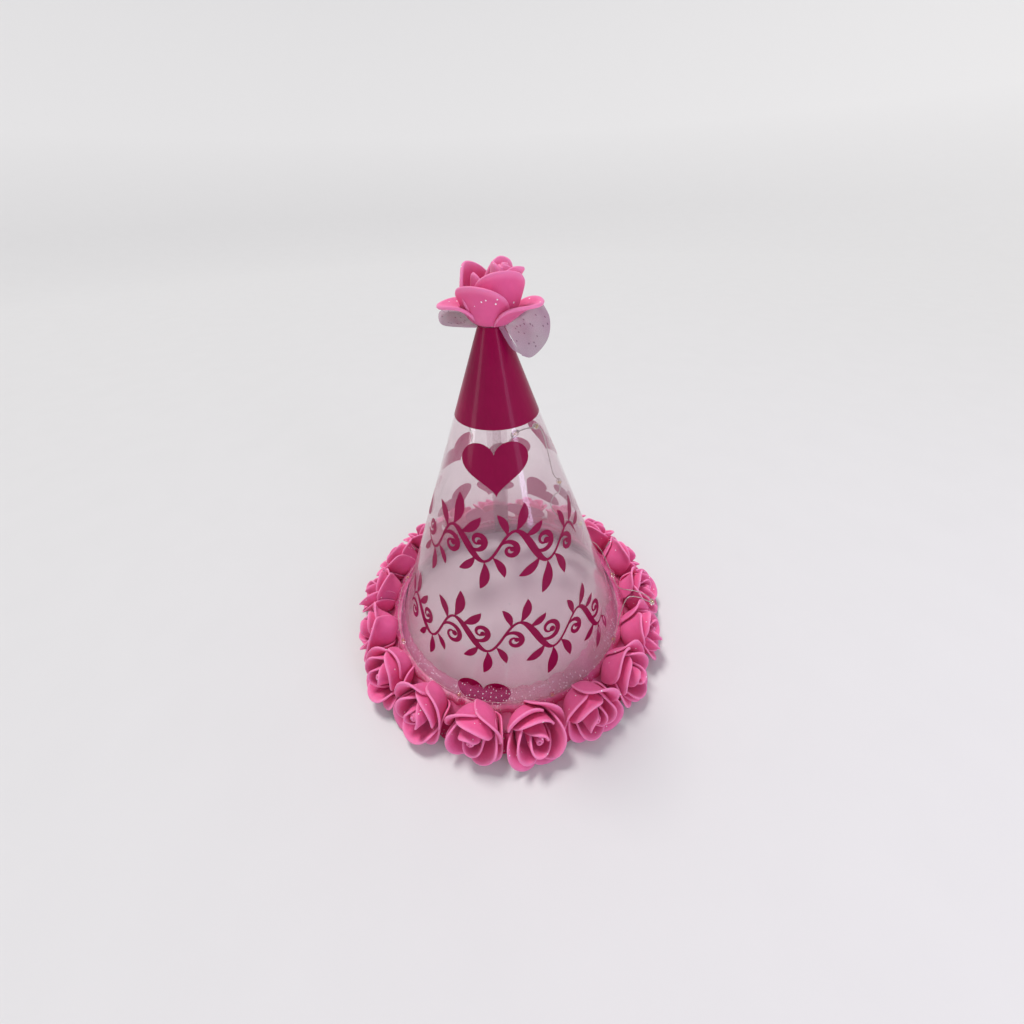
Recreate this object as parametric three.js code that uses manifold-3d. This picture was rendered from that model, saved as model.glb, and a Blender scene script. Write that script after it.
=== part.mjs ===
// A clear film party hat: a rolled cone with a ring of foam roses and tulle round its
// rim, a bigger foam rose on its tip, and a small battery light string inside.
// Millimetres, +Z up. The origin is the centre of the rim that the hat stands on.
// Bearings are in degrees from the front (-Y), growing towards +X.

import * as THREE from 'three';
import { mergeVertices } from 'three/addons/utils/BufferGeometryUtils.js';
import Module from 'manifold-3d';

const wasm = await Module();
wasm.setup();

// ---- driving dimensions ----

const RIM_RADIUS = 60;             // outside of the film at the rim
const APEX_HEIGHT = 156;           // where the cone's sides would meet
const TIP_HEIGHT = 145;            // where the film is cut off, under the top rose
const FILM_WALL = 0.43;            // film thickness, measured level
const TOUCH = 0.3;                 // gap left between pieces that touch
const SEAM_BEARING = 195;
const SEAM_WIDTH = 9;

const ROSE_COUNT = 18;
const ROSE_FIRST_BEARING = -1;     // leaves the gap between two roses at the front
const ROSE_RING_RADIUS = 70.2;     // from the hat's axis to the middle of a rose
const ROSE_RING_HEIGHT = 12;
const ROSE_RADIUS = 11.9;
const ROSE_FACE_UP = 45;           // how far a rose's face looks up from level
const ROSE_DEPTH = 8.5;            // from the middle of a rose back to its flat base
const ROSE_BASE_RADIUS = 4.5;

const TULLE_WALL = 0.6;
const TULLE_WAVES = 18;

const CELL_RADIUS = 5.8;           // three 1130 size button cells
const CELL_HEIGHT = 3.05;
const CELL_PITCH = CELL_HEIGHT + TOUCH;
const LOWEST_CELL_HEIGHT = 120.95;
const CASE_RADIUS = 7.6;
const CASE_BORE = 6.8;
const CASE_BOTTOM = 119.2;
const CASE_TOP = 134;
const CAP_BOTTOM = 115.2;
const CAP_TOP = CASE_BOTTOM - TOUCH;
const CAP_FLOOR = 1;
const SPIGOT_RADIUS = 5.9;
const SPIGOT_BORE = 5.1;
const SPIGOT_TOP = 120.4;

const WIRE_RADIUS = 0.35;
const BEAD_RADIUS = 1.3;
const WIRE_START_BEARING = -60;
const WIRE_EXIT = { bearing: 128, height: 24, radius: 1.8 };

const KNOB_TRAVEL = 2;
const KNOB_LENGTH = 2.4;
const KNOB_WIDTH = 1.2;

// ---- materials ----

const paint = (color, roughness, metalness = 0) =>
  () => new THREE.MeshStandardMaterial({ color, roughness, metalness });

const clearFilm = paint(0xf1ebed, 0.08);
const clearTape = paint(0xe9e3e2, 0.3);
const hotGlue = paint(0xf2ebdc, 0.35);
const pinkTulle = paint(0xe6bccb, 0.8);
const pinkFoam = paint(0xe8659f, 0.75);
const palePinkFoam = paint(0xf08ab8, 0.75);
const stemWire = paint(0x3e7a45, 0.6);
const whitePlastic = paint(0xf3f2ee, 0.4);
const greyFoam = paint(0xd9d6d2, 0.9);
const boardGreen = paint(0x1f6b45, 0.5);
const nickel = paint(0xc9c9c4, 0.3, 1);
const blackPlastic = paint(0x1c1c1e, 0.45);
const silverWire = paint(0xb8b4ac, 0.35, 0.7);

// ---- helpers ----

const radians = THREE.MathUtils.degToRad;

/** Outside radius of the film cone at a height. */
const coneRadius = (height) => RIM_RADIUS * (1 - height / APEX_HEIGHT);

/** A point given by its distance from the axis, its bearing and its height. */
const polar = (radius, bearing, height) => new THREE.Vector3(
  radius * Math.sin(radians(bearing)),
  -radius * Math.cos(radians(bearing)),
  height,
);

/** Spin an outline of [radius, height] points, listed anticlockwise, about +Z. */
function turned(outline, segments) {
  const points = outline.map(([radius, height]) => new THREE.Vector2(radius, height));
  return new THREE.LatheGeometry(points, segments).rotateX(Math.PI / 2);
}

/** Spin a ring's outline, which closes on itself. */
const turnedRing = (outline, segments) => turned([...outline, outline[0]], segments);

/** Move every vertex by a function of its radius, its angle and its height. */
function reshaped(geometry, move) {
  const at = geometry.attributes.position;
  for (let i = 0; i < at.count; i += 1) {
    const radius = Math.hypot(at.getX(i), at.getY(i));
    const angle = Math.atan2(at.getX(i), -at.getY(i));
    const next = move(radius, angle, at.getZ(i));
    at.setXYZ(i, next.radius * Math.sin(angle), -next.radius * Math.cos(angle), next.height);
  }
  return geometry;
}

/** A closed geometry as a solid that can be cut and joined. */
function solid(geometry) {
  const bare = geometry.clone();
  bare.deleteAttribute('normal');
  bare.deleteAttribute('uv');
  const merged = mergeVertices(bare, 1e-4);
  return new wasm.Manifold(new wasm.Mesh({
    numProp: 3,
    vertProperties: new Float32Array(merged.attributes.position.array),
    triVerts: new Uint32Array(merged.index.array),
  }));
}

/** A cut or joined solid back as a geometry. */
function geometryOf(body) {
  const mesh = body.getMesh();
  const geometry = new THREE.BufferGeometry();
  geometry.setAttribute('position', new THREE.BufferAttribute(mesh.vertProperties, 3));
  geometry.setIndex(new THREE.BufferAttribute(mesh.triVerts, 1));
  geometry.computeVertexNormals();
  return geometry;
}

/** A round rod from one point to another, as a cutting tool or a plain piece. */
function rod(from, to, radius, segments = 16) {
  const along = new THREE.Vector3().subVectors(to, from);
  const middle = new THREE.Vector3().addVectors(from, to).multiplyScalar(0.5);
  const upright = new THREE.Vector3(0, 1, 0);
  const turn = new THREE.Quaternion().setFromUnitVectors(upright, along.clone().normalize());
  return new THREE.CylinderGeometry(radius, radius, along.length(), segments)
    .applyQuaternion(turn)
    .translate(middle.x, middle.y, middle.z);
}

/** A wire that follows a curve. */
function wireAlong(curve, radius, steps, sides) {
  const section = new THREE.Shape();
  for (let i = 0; i < sides; i += 1) {
    const angle = (2 * Math.PI * i) / sides;
    const [x, y] = [radius * Math.cos(angle), radius * Math.sin(angle)];
    if (i === 0) {
      section.moveTo(x, y);
    } else {
      section.lineTo(x, y);
    }
  }
  section.closePath();
  return new THREE.ExtrudeGeometry(section, { steps, extrudePath: curve, curveSegments: 1 });
}

const hat = new THREE.Group();

/** Name a piece and hang it in the hat or in a group of its own. */
function add(name, geometry, material, parent = hat) {
  const mesh = new THREE.Mesh(geometry, material());
  mesh.name = name;
  parent.add(mesh);
}

// ---- the film cone and its seam ----

function coneFilm() {
  const shell = turnedRing([
    [coneRadius(0), 0],
    [coneRadius(TIP_HEIGHT), TIP_HEIGHT],
    [coneRadius(TIP_HEIGHT) - FILM_WALL, TIP_HEIGHT],
    [coneRadius(0) - FILM_WALL, 0],
  ], 72);
  const { bearing, height, radius } = WIRE_EXIT;
  const reach = coneRadius(height);
  const drill = rod(polar(reach - 4, bearing, height), polar(reach + 4, bearing, height), radius);
  return geometryOf(solid(shell).subtract(solid(drill)));
}

function seamTape() {
  const bottom = 3;
  const top = 113;
  const inset = FILM_WALL + 0.2;
  const wall = 0.25;
  const sleeve = turnedRing([
    [coneRadius(bottom) - inset, bottom],
    [coneRadius(top) - inset, top],
    [coneRadius(top) - inset - wall, top],
    [coneRadius(bottom) - inset - wall, bottom],
  ], 72);
  const strip = new THREE.BoxGeometry(SEAM_WIDTH, RIM_RADIUS, APEX_HEIGHT)
    .translate(0, -RIM_RADIUS / 2 - 1, APEX_HEIGHT / 2)
    .rotateZ(radians(SEAM_BEARING));
  return geometryOf(solid(sleeve).intersect(solid(strip)));
}

add('cone_film', coneFilm(), clearFilm);
add('seam_tape', seamTape(), clearTape);

// ---- the rim: gathered tulle, glue and roses ----

/** A gathered strip: one half stands up the cone, the other flares out under the roses. */
function brimTulle() {
  const foldRadius = 61;
  const outerRadius = 75.5;
  const gatherHeight = 10;
  const topHeight = 19;
  const clear = 0.35;
  const stand = (height, lean) => [coneRadius(height) + clear + lean, height];
  const flat = turnedRing([
    stand(0.4, 0),
    [outerRadius, 0.5],
    [outerRadius, 0.5 + TULLE_WALL],
    [foldRadius, 0.4 + TULLE_WALL],
    stand(5, TULLE_WALL),
    stand(gatherHeight, TULLE_WALL),
    stand(14, 0.6 + TULLE_WALL),
    stand(topHeight, 1.8 + TULLE_WALL),
    stand(topHeight, 1.8),
    stand(14, 0.6),
    stand(gatherHeight, 0),
    stand(5, 0),
  ], TULLE_WAVES * 3);
  return reshaped(flat, (radius, angle, height) => {
    const wave = Math.cos(TULLE_WAVES * angle);
    const flare = Math.max(0, (radius - foldRadius) / (outerRadius - foldRadius));
    const frill = Math.max(0, (height - gatherHeight) / (topHeight - gatherHeight));
    return {
      radius: radius + 0.6 * (1 + wave) * frill,
      height: height + 0.3 * (1 + wave) * flare,
    };
  });
}

/** A bead of hot glue between the tulle and the bases of the roses. */
function brimGlue() {
  return turnedRing([
    [coneRadius(1.7) + 1.9, 1.7],
    [66.8, 1.7],
    [66.6, 2.9],
    [61.2, 8.3],
    [coneRadius(8.3) + 1.5, 8.3],
  ], TULLE_WAVES * 3);
}

/** A cup of petals, open at the front, with five scallops round its edge. */
function rosePetals() {
  const cup = turned([
    [0, -ROSE_DEPTH],
    [ROSE_BASE_RADIUS, -ROSE_DEPTH],
    [9.7, -4.2],
    [ROSE_RADIUS, 0.5],
    [11.2, 3.8],
    [8.4, 2.6],
    [5.4, -5],
    [0, -6.4],
  ], 15);
  return reshaped(cup, (radius, angle, height) => {
    const rim = Math.max(0, (radius - 8) / (ROSE_RADIUS - 8));
    return { radius, height: height + 0.7 * rim * Math.cos(5 * angle) };
  });
}

/** The rolled bud that stands in the cup. */
function roseBud() {
  return turned([
    [0, -6.0],
    [3.6, -4.4],
    [5.6, 0.6],
    [5.0, 4.2],
    [2.6, 6.4],
    [0, 6.8],
  ], 9);
}

add('brim_tulle', brimTulle(), pinkTulle);
add('brim_glue', brimGlue(), hotGlue);

for (let i = 0; i < ROSE_COUNT; i += 1) {
  const label = String(i + 1).padStart(2, '0');
  const spoke = new THREE.Group();
  spoke.rotation.z = radians(ROSE_FIRST_BEARING + (360 * i) / ROSE_COUNT);
  const rose = new THREE.Group();
  rose.position.set(0, -ROSE_RING_RADIUS, ROSE_RING_HEIGHT);
  rose.rotation.x = radians(90 - ROSE_FACE_UP);
  spoke.add(rose);
  hat.add(spoke);
  add(`brim_rose_${label}_bud`, roseBud(), palePinkFoam, rose);
  add(`brim_rose_${label}_petals`, rosePetals(), pinkFoam, rose);
}

// ---- the tip: tulle, glue plug, stem and the big rose ----

function topTulle() {
  const skirt = turnedRing([
    [coneRadius(142.9) + 0.4, 142.9],
    [16.2, 138.4],
    [16.4, 139.2],
    [coneRadius(143.8) + 0.4, 143.8],
  ], 24);
  return reshaped(skirt, (radius, angle, height) => {
    const out = Math.max(0, (radius - 6) / 10);
    return { radius, height: height - 0.8 * out * (1 + Math.cos(6 * angle)) };
  });
}

function tipGlue() {
  const plug = (height) => coneRadius(height) - FILM_WALL - TOUCH;
  const bore = 1.4;
  return turnedRing([
    [bore, 138.2],
    [plug(138.2), 138.2],
    [plug(145), 145],
    [bore, 145],
  ], 24);
}

/** Five scallops round a cup whose outline is given, deepest at its edge. */
function scalloped(outline, reach, depth) {
  return reshaped(turnedRing(outline, 25), (radius, angle, height) => {
    const rim = (radius / reach) ** 3;
    return {
      radius: radius * (1 - 0.04 * rim * (1 + Math.cos(5 * angle))),
      height: height + depth * rim * Math.cos(5 * angle),
    };
  });
}

const stemHole = 1.5;

const outerPetals = scalloped([
  [stemHole, 145.8],
  [6, 145.8],
  [12, 146.4],
  [16.2, 148.6],
  [16.0, 149.8],
  [11.5, 148],
  [6, 147.5],
  [stemHole, 147.5],
], 16.2, 0.7);

const innerPetals = scalloped([
  [stemHole, 147.9],
  [5, 147.9],
  [9.4, 150.4],
  [11.2, 154.4],
  [10.8, 157.2],
  [9.6, 157.2],
  [9.4, 154.4],
  [7.4, 151],
  [4.4, 149.4],
  [stemHole, 149.4],
], 11.2, 0.5);

const topBud = turned([
  [0, 149.9],
  [4.2, 150.3],
  [6.6, 153.6],
  [6.4, 157.6],
  [4.6, 160.6],
  [2.2, 162.6],
  [0, 163],
], 15);

add('top_tulle', topTulle(), pinkTulle);
add('tip_glue', tipGlue(), hotGlue);
add('top_rose_stem', rod(new THREE.Vector3(0, 0, 137), new THREE.Vector3(0, 0, 149.5), 1.1, 12), stemWire);
add('top_rose_outer_petals', outerPetals, pinkFoam);
add('top_rose_inner_petals', innerPetals, pinkFoam);
add('top_rose_bud', topBud, palePinkFoam);

// ---- the battery case inside the tip ----

function batteryCase() {
  const endWall = 1;
  const chamfer = 0.4;
  const can = turned([
    [CASE_BORE, CASE_BOTTOM],
    [CASE_RADIUS, CASE_BOTTOM],
    [CASE_RADIUS, CASE_TOP - chamfer],
    [CASE_RADIUS - chamfer, CASE_TOP],
    [0, CASE_TOP],
    [0, CASE_TOP - endWall],
    [CASE_BORE, CASE_TOP - endWall],
    [CASE_BORE, CASE_BOTTOM],
  ], 36);
  const wireHole = rod(
    polar(CASE_BORE - 1, WIRE_START_BEARING, 131.6),
    polar(CASE_RADIUS + 1, WIRE_START_BEARING, 131.6),
    1.2,
    12,
  );
  return geometryOf(solid(can).subtract(solid(wireHole)));
}

/** A foam collar that wedges the case in the cone, slotted for the wire. */
function caseCollar() {
  const fit = (height) => coneRadius(height) - FILM_WALL - TOUCH;
  const ring = turnedRing([
    [CASE_RADIUS + TOUCH, 124],
    [fit(124), 124],
    [fit(129), 129],
    [CASE_RADIUS + TOUCH, 129],
  ], 36);
  const slot = new THREE.BoxGeometry(3, 12, 12)
    .translate(0, -10, 126.5)
    .rotateZ(radians(WIRE_START_BEARING));
  return geometryOf(solid(ring).subtract(solid(slot)));
}

/** A button cell: a can with its smaller pole below. */
function buttonCell(bottom) {
  return turned([
    [0, bottom],
    [CELL_RADIUS - 1.2, bottom],
    [CELL_RADIUS - 1.0, bottom + 0.7],
    [CELL_RADIUS, bottom + 0.9],
    [CELL_RADIUS, bottom + CELL_HEIGHT - 0.3],
    [CELL_RADIUS - 0.3, bottom + CELL_HEIGHT],
    [0, bottom + CELL_HEIGHT],
  ], 20);
}

/** A thin strip inside the case, joining the cap's contact to the board. */
function returnStrip() {
  const outer = CASE_BORE - TOUCH;
  return new THREE.BoxGeometry(2, 0.25, 13)
    .translate(0, -(outer - 0.125), 126.1)
    .rotateZ(radians(120));
}

function positiveContact() {
  return turned([
    [0, 131.0],
    [1.2, 131.05],
    [1.8, 131.2],
    [2.8, 131.2],
    [2.8, 131.5],
    [0, 131.5],
  ], 18);
}

/** A round board that fits inside the strip. */
function circuitBoard() {
  return turned([
    [0, 131.8],
    [5.9, 131.8],
    [5.9, 132.5],
    [0, 132.5],
  ], 30);
}

/** The cap: a floor slotted for the switch knob, a thick wall and a spigot for the case. */
function batteryCap() {
  const chamfer = 0.4;
  const cup = turned([
    [0, CAP_BOTTOM],
    [CASE_RADIUS - chamfer, CAP_BOTTOM],
    [CASE_RADIUS, CAP_BOTTOM + chamfer],
    [CASE_RADIUS, CAP_TOP],
    [SPIGOT_RADIUS, CAP_TOP],
    [SPIGOT_RADIUS, SPIGOT_TOP],
    [SPIGOT_BORE, SPIGOT_TOP],
    [SPIGOT_BORE, CAP_BOTTOM + CAP_FLOOR],
    [0, CAP_BOTTOM + CAP_FLOOR],
  ], 36);
  const slot = new THREE.BoxGeometry(KNOB_LENGTH + KNOB_TRAVEL + 2 * TOUCH, KNOB_WIDTH + 2 * TOUCH, 4)
    .translate(0, 0, CAP_BOTTOM);
  return geometryOf(solid(cup).subtract(solid(slot)));
}

/** The cap's contact: a short conical spring. */
function capSpring() {
  const turns = 3;
  const points = [];
  for (let i = 0; i <= turns * 10; i += 1) {
    const along = i / (turns * 10);
    const angle = along * turns * 2 * Math.PI;
    const radius = 3.4 - 1.6 * along;
    points.push(new THREE.Vector3(
      radius * Math.cos(angle),
      radius * Math.sin(angle),
      118.55 + 1.8 * along,
    ));
  }
  return wireAlong(new THREE.CatmullRomCurve3(points), 0.2, turns * 14, 6);
}

function switchKnob() {
  const shift = -KNOB_TRAVEL / 2;
  const stem = new THREE.BoxGeometry(KNOB_LENGTH, KNOB_WIDTH, 1.8).translate(shift, 0, 115.3);
  const grip = new THREE.BoxGeometry(3.4, 2.4, 0.9).translate(shift, 0, CAP_BOTTOM - TOUCH - 0.45);
  return geometryOf(solid(stem).add(solid(grip)));
}

add('battery_case', batteryCase(), whitePlastic);
add('case_collar', caseCollar(), greyFoam);
add('circuit_board', circuitBoard(), boardGreen);
add('positive_contact', positiveContact(), nickel);
add('return_strip', returnStrip(), nickel);
for (let i = 0; i < 3; i += 1) {
  add(`button_cell_${i + 1}`, buttonCell(LOWEST_CELL_HEIGHT + i * CELL_PITCH), nickel);
}
add('battery_cap', batteryCap(), whitePlastic);
add('cap_spring', capSpring(), nickel);
add('switch_body', new THREE.BoxGeometry(7, 3.4, 1.5).translate(0, 0, 117.3), nickel);
add('switch_knob', switchKnob(), blackPlastic);

// ---- the light string ----

// Its route, as [radius, bearing, height] and true where a light bead sits: out of the
// case, down past the collar, in loose loops below the tip, down inside the right-hand
// side, out through the film, and round the rim between the roses and the cone.
const WIRE_ROUTE = [
  [6.3, -60, 132],
  [7.3, -60, 132],
  [8.0, -60, 131.7],
  [8.3, -60, 130.4],
  [8.8, -60, 127],
  [9.6, -60, 123.5],
  [11.0, -52, 120],
  [13.2, -36, 116.6],
  [14.9, -24, 113.2],
  [15.8, -22, 110.8],
  [16.4, -16, 109],
  [16.8, -4, 108.2],
  [16.6, 12, 108.8],
  [15.4, 26, 111.6],
  [14.2, 37, 113.6, true],
  [14.4, 52, 114.2],
  [14.8, 70, 113],
  [14.7, 82, 112, true],
  [16.4, 92, 109],
  [18.0, 92, 104],
  [20.0, 84, 98.5],
  [22.0, 80, 93],
  [24.0, 88, 87.5, true],
  [24.6, 82, 84.6],
  [24.2, 70, 86.4],
  [24.6, 62, 84],
  [27.0, 66, 78],
  [31.0, 82, 70],
  [35.0, 100, 60, true],
  [39.4, 114, 49],
  [43.8, 122, 37],
  [47.2, 127, 27.5],
  [49.6, 128, 24],
  [52.4, 128, 23.6],
  [55.4, 125.6, 22.4],
  [57.6, 121, 18.6],
  [58.6, 115, 14],
  [58.8, 109, 12.2, true],
  [58.7, 101, 13],
  [59.2, 95, 18],
  [61.0, 91.4, 22.2],
  [66.0, 90.6, 22.6],
  [71.4, 90.4, 20],
  [73.6, 89.2, 18, true],
  [71.4, 88.0, 20],
  [66.0, 87.6, 22.6],
  [61.0, 86.6, 22.2],
  [59.0, 82, 17],
  [58.7, 76, 12.4],
  [58.8, 69, 11.8, true],
  [58.7, 59, 12.2],
  [58.9, 49, 11.8],
  [58.7, 39, 12.2],
  [58.8, 29, 11.8, true],
  [58.8, 19, 12.2],
  [58.7, 9, 11.8],
  [58.9, -1, 12.2],
  [58.8, -11, 11.8, true],
  [58.7, -21, 12.2],
  [58.9, -31, 11.8],
  [58.7, -41, 12.2],
  [58.8, -51, 11.8, true],
  [58.8, -61, 12.2],
  [58.7, -71, 11.8],
  [58.9, -81, 12.2],
  [58.8, -91, 11.8, true],
  [58.7, -101, 12.2],
  [58.9, -111, 11.8],
  [58.7, -121, 12.2],
  [58.8, -131, 11.8, true],
  [58.8, -141, 12.2],
  [58.7, -151, 11.8],
  [58.9, -161, 12.2],
  [58.8, -171, 11.8, true],
  [58.7, -181, 12.2],
  [58.9, -191, 11.8],
  [58.8, -201, 12.2],
  [58.8, -211, 11.8, true],
];

function lightString() {
  const points = WIRE_ROUTE.map(([radius, bearing, height]) => polar(radius, bearing, height));
  const curve = new THREE.CatmullRomCurve3(points, false, 'centripetal');
  let string = solid(wireAlong(curve, WIRE_RADIUS, 190, 5));
  WIRE_ROUTE.forEach(([, , , lit], i) => {
    if (lit) {
      const bead = new THREE.SphereGeometry(BEAD_RADIUS, 7, 5);
      string = string.add(solid(bead.translate(...points[i].toArray())));
    }
  });
  return geometryOf(string);
}

add('light_string', lightString(), silverWire);

export default hat;
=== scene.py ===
"""A clear film party hat with a ring of foam roses, dotted tulle and a light string.

Every size is in metres. Bearings are in degrees from the front (-Y), growing towards +X,
and a place on the hat is often given as (distance from the axis, bearing, height).
"""
import math

import bpy
import numpy as np
from bpy.props import (
    FloatProperty,
    FloatVectorProperty,
    IntProperty,
    PointerProperty,
)
from mathutils import Matrix, Vector


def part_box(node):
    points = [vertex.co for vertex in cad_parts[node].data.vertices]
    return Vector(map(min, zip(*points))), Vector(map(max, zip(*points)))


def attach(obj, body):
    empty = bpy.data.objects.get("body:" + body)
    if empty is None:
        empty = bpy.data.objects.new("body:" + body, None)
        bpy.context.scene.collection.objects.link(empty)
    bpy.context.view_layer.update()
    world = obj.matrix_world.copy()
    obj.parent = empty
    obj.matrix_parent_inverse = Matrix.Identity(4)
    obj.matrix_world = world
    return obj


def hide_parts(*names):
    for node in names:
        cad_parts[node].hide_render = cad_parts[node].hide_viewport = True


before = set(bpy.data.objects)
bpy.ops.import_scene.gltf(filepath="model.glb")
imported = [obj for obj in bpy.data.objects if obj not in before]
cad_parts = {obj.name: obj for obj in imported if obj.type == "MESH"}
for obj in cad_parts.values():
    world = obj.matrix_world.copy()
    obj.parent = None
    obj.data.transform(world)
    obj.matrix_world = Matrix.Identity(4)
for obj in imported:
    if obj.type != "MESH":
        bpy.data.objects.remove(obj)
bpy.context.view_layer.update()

bl_info = {
    "name": "Flower Brim Party Hat",
    "version": (1, 0, 0),
    "blender": (4, 5, 0),
    "location": "View3D > Sidebar > Party Hat",
    "description": "Builds a clear film party hat with foam roses, tulle and a light string",
    "category": "Add Mesh",
}

MM = 0.001


# ---- what the frame says ----

def node_points(name):
    """All the corners of a CAD node, as an array of rows x, y, z."""
    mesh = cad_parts[name].data
    points = np.empty(len(mesh.vertices) * 3)
    mesh.vertices.foreach_get("co", points)
    return points.reshape(-1, 3)


def bearing_of(point):
    """Bearing in degrees of a point, from the front and towards +X."""
    return math.degrees(math.atan2(point[0], -point[1]))


FILM_POINTS = node_points("cone_film")
FILM_REACH = np.hypot(FILM_POINTS[:, 0], FILM_POINTS[:, 1])
RIM_RADIUS = float(FILM_REACH.max())
FILM_TOP = float(FILM_POINTS[:, 2].max())
TOP_RADIUS = float(FILM_REACH[FILM_POINTS[:, 2] > FILM_TOP - 0.1 * MM].max())
APEX = FILM_TOP / (1 - TOP_RADIUS / RIM_RADIUS)
SLANT = math.hypot(RIM_RADIUS, APEX)
LEAN_SINE = RIM_RADIUS / SLANT
LEAN_COSINE = APEX / SLANT
SEAM_BEARING = bearing_of(node_points("seam_tape").mean(axis=0))
ROSE_NAMES = sorted(
    name[: -len("_petals")]
    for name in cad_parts
    if name.startswith("brim_rose_") and name.endswith("_petals")
)
ROSE_BEARINGS = [bearing_of(node_points(name + "_petals").mean(axis=0)) for name in ROSE_NAMES]
ROSE_PITCH = 360 / len(ROSE_NAMES)


def cone_radius(height):
    """Outside radius of the film at a height."""
    return RIM_RADIUS * (1 - height / APEX)


# ---- mesh tools ----

def polar(radius, bearing, height):
    """Points from distances, bearings in degrees and heights, which may be arrays."""
    radius, bearing, height = np.broadcast_arrays(radius, np.radians(bearing), height)
    return np.stack([radius * np.sin(bearing), -radius * np.cos(bearing), height], axis=-1)


def unit(vectors):
    """The same vectors with length 1."""
    return vectors / np.maximum(np.linalg.norm(vectors, axis=-1, keepdims=True), 1e-12)


def ease(x):
    """A smooth step from 0 at 0 to 1 at 1."""
    x = np.clip(x, 0, 1)
    return x * x * (3 - 2 * x)


def quads(rows, cols):
    """Corner numbers of the quads of a grid that is stored row by row."""
    corner = np.arange(rows * cols).reshape(rows, cols)
    faces = [corner[:-1, :-1], corner[1:, :-1], corner[1:, 1:], corner[:-1, 1:]]
    return np.stack([part.ravel() for part in faces], axis=-1)


def open_sheet(points):
    """A grid of points as one surface, facing rows cross columns."""
    rows, cols = points.shape[:2]
    return {"points": points.reshape(-1, 3), "faces": quads(rows, cols)}


def closed_sheet(points, thickness, edge=None):
    """A grid of points as a closed sheet with a rounded cut edge.

    Half the thickness goes to each side along the grid's normals. All round, a rim of
    points stands a third of the thickness outside the edge, and joins the two sides.
    "cut" is 1 on that rim and takes the values of edge, if given, on both sides. On foam the rim is the
    paler cut edge, and edge is a band of painted glow where light shines through the thin foam.
    """
    rows, cols = points.shape[:2]
    across = np.gradient(points, axis=0)
    along = np.gradient(points, axis=1)
    normal = unit(np.cross(across, along))
    count = rows * cols
    corner = np.arange(count).reshape(rows, cols)
    loop = np.concatenate([
        corner[:-1, 0], corner[-1, :-1], corner[:0:-1, -1], corner[0, :0:-1],
    ])
    outward = np.concatenate([
        -along[:-1, 0], across[-1, :-1], along[:0:-1, -1], -across[0, :0:-1],
    ])
    flat = points.reshape(-1, 3)
    shift = normal.reshape(-1, 3) * thickness / 2
    rim = flat[loop] + unit(outward) * thickness / 3
    front = loop
    back = loop + count
    middle = 2 * count + np.arange(len(loop))
    turn = np.roll(np.arange(len(loop)), -1)
    faces = np.concatenate([
        quads(rows, cols),
        quads(rows, cols)[:, ::-1] + count,
        np.stack([front[turn], front, middle, middle[turn]], axis=-1),
        np.stack([middle[turn], middle, back, back[turn]], axis=-1),
    ])
    side = np.zeros(count) if edge is None else np.asarray(edge).reshape(-1)
    return {
        "points": np.concatenate([flat + shift, flat - shift, rim]),
        "faces": faces,
        "cut": np.concatenate([side, side, np.ones(len(loop))]),
    }


def tube(path, radius, sides=8):
    """A round tube along a path of points, closed by a point at each end.

    Each ring stands square to the path. Its first direction is the one before it with
    the part along the path taken out, so the tube doesn't twist.
    """
    path = np.asarray(path, float)
    ahead = unit(np.gradient(path, axis=0))
    side = np.empty_like(ahead)
    start = np.cross(ahead[0], [0.0, 0.0, 1.0])
    side[0] = unit(start if np.linalg.norm(start) > 0.01 else np.cross(ahead[0], [1.0, 0, 0]))
    for i in range(1, len(path)):
        side[i] = unit(side[i - 1] - ahead[i] * np.dot(side[i - 1], ahead[i]))
    other = np.cross(ahead, side)
    angle = np.arange(sides) * 2 * np.pi / sides
    reach = np.broadcast_to(radius, len(path))[:, None, None]
    ring = (
        side[:, None] * np.cos(angle)[None, :, None]
        + other[:, None] * np.sin(angle)[None, :, None]
    )
    points = (path[:, None] + ring * reach).reshape(-1, 3)
    corner = np.arange(len(path) * sides).reshape(len(path), sides)
    turned = np.roll(corner, -1, axis=1)
    wall = np.stack([
        corner[:-1].ravel(), turned[:-1].ravel(), turned[1:].ravel(), corner[1:].ravel(),
    ], axis=-1)
    first = len(points)
    caps = np.concatenate([
        np.stack([np.full(sides, first), turned[0], corner[0]], axis=-1),
        np.stack([np.full(sides, first + 1), corner[-1], turned[-1]], axis=-1),
    ])
    return {
        "points": np.concatenate([points, path[:1], path[-1:]]),
        "faces": wall,
        "caps": caps,
    }


def ball(middle, radii, rows=9, cols=12, way=None):
    """An egg shape about a point: circles of latitude scaled by the three radii."""
    latitude = np.linspace(-np.pi / 2, np.pi / 2, rows)[1:-1, None]
    longitude = np.arange(cols)[None, :] * 2 * np.pi / cols
    skin = np.stack(np.broadcast_arrays(
        radii[0] * np.cos(latitude) * np.cos(longitude),
        radii[1] * np.cos(latitude) * np.sin(longitude),
        radii[2] * np.sin(latitude),
    ), axis=-1)
    points = np.concatenate([
        skin.reshape(-1, 3), [[0, 0, -radii[2]], [0, 0, radii[2]]],
    ])
    if way is not None:
        points = points @ np.array(Vector(way).to_track_quat("Z", "Y").to_matrix()).T
    corner = np.arange((rows - 2) * cols).reshape(rows - 2, cols)
    turned = np.roll(corner, -1, axis=1)
    wall = np.stack([
        corner[:-1].ravel(), turned[:-1].ravel(), turned[1:].ravel(), corner[1:].ravel(),
    ], axis=-1)
    south = (rows - 2) * cols
    caps = np.concatenate([
        np.stack([np.full(cols, south), turned[0], corner[0]], axis=-1),
        np.stack([np.full(cols, south + 1), corner[-1], turned[-1]], axis=-1),
    ])
    return {"points": points + np.asarray(middle), "faces": wall, "caps": caps}


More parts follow.
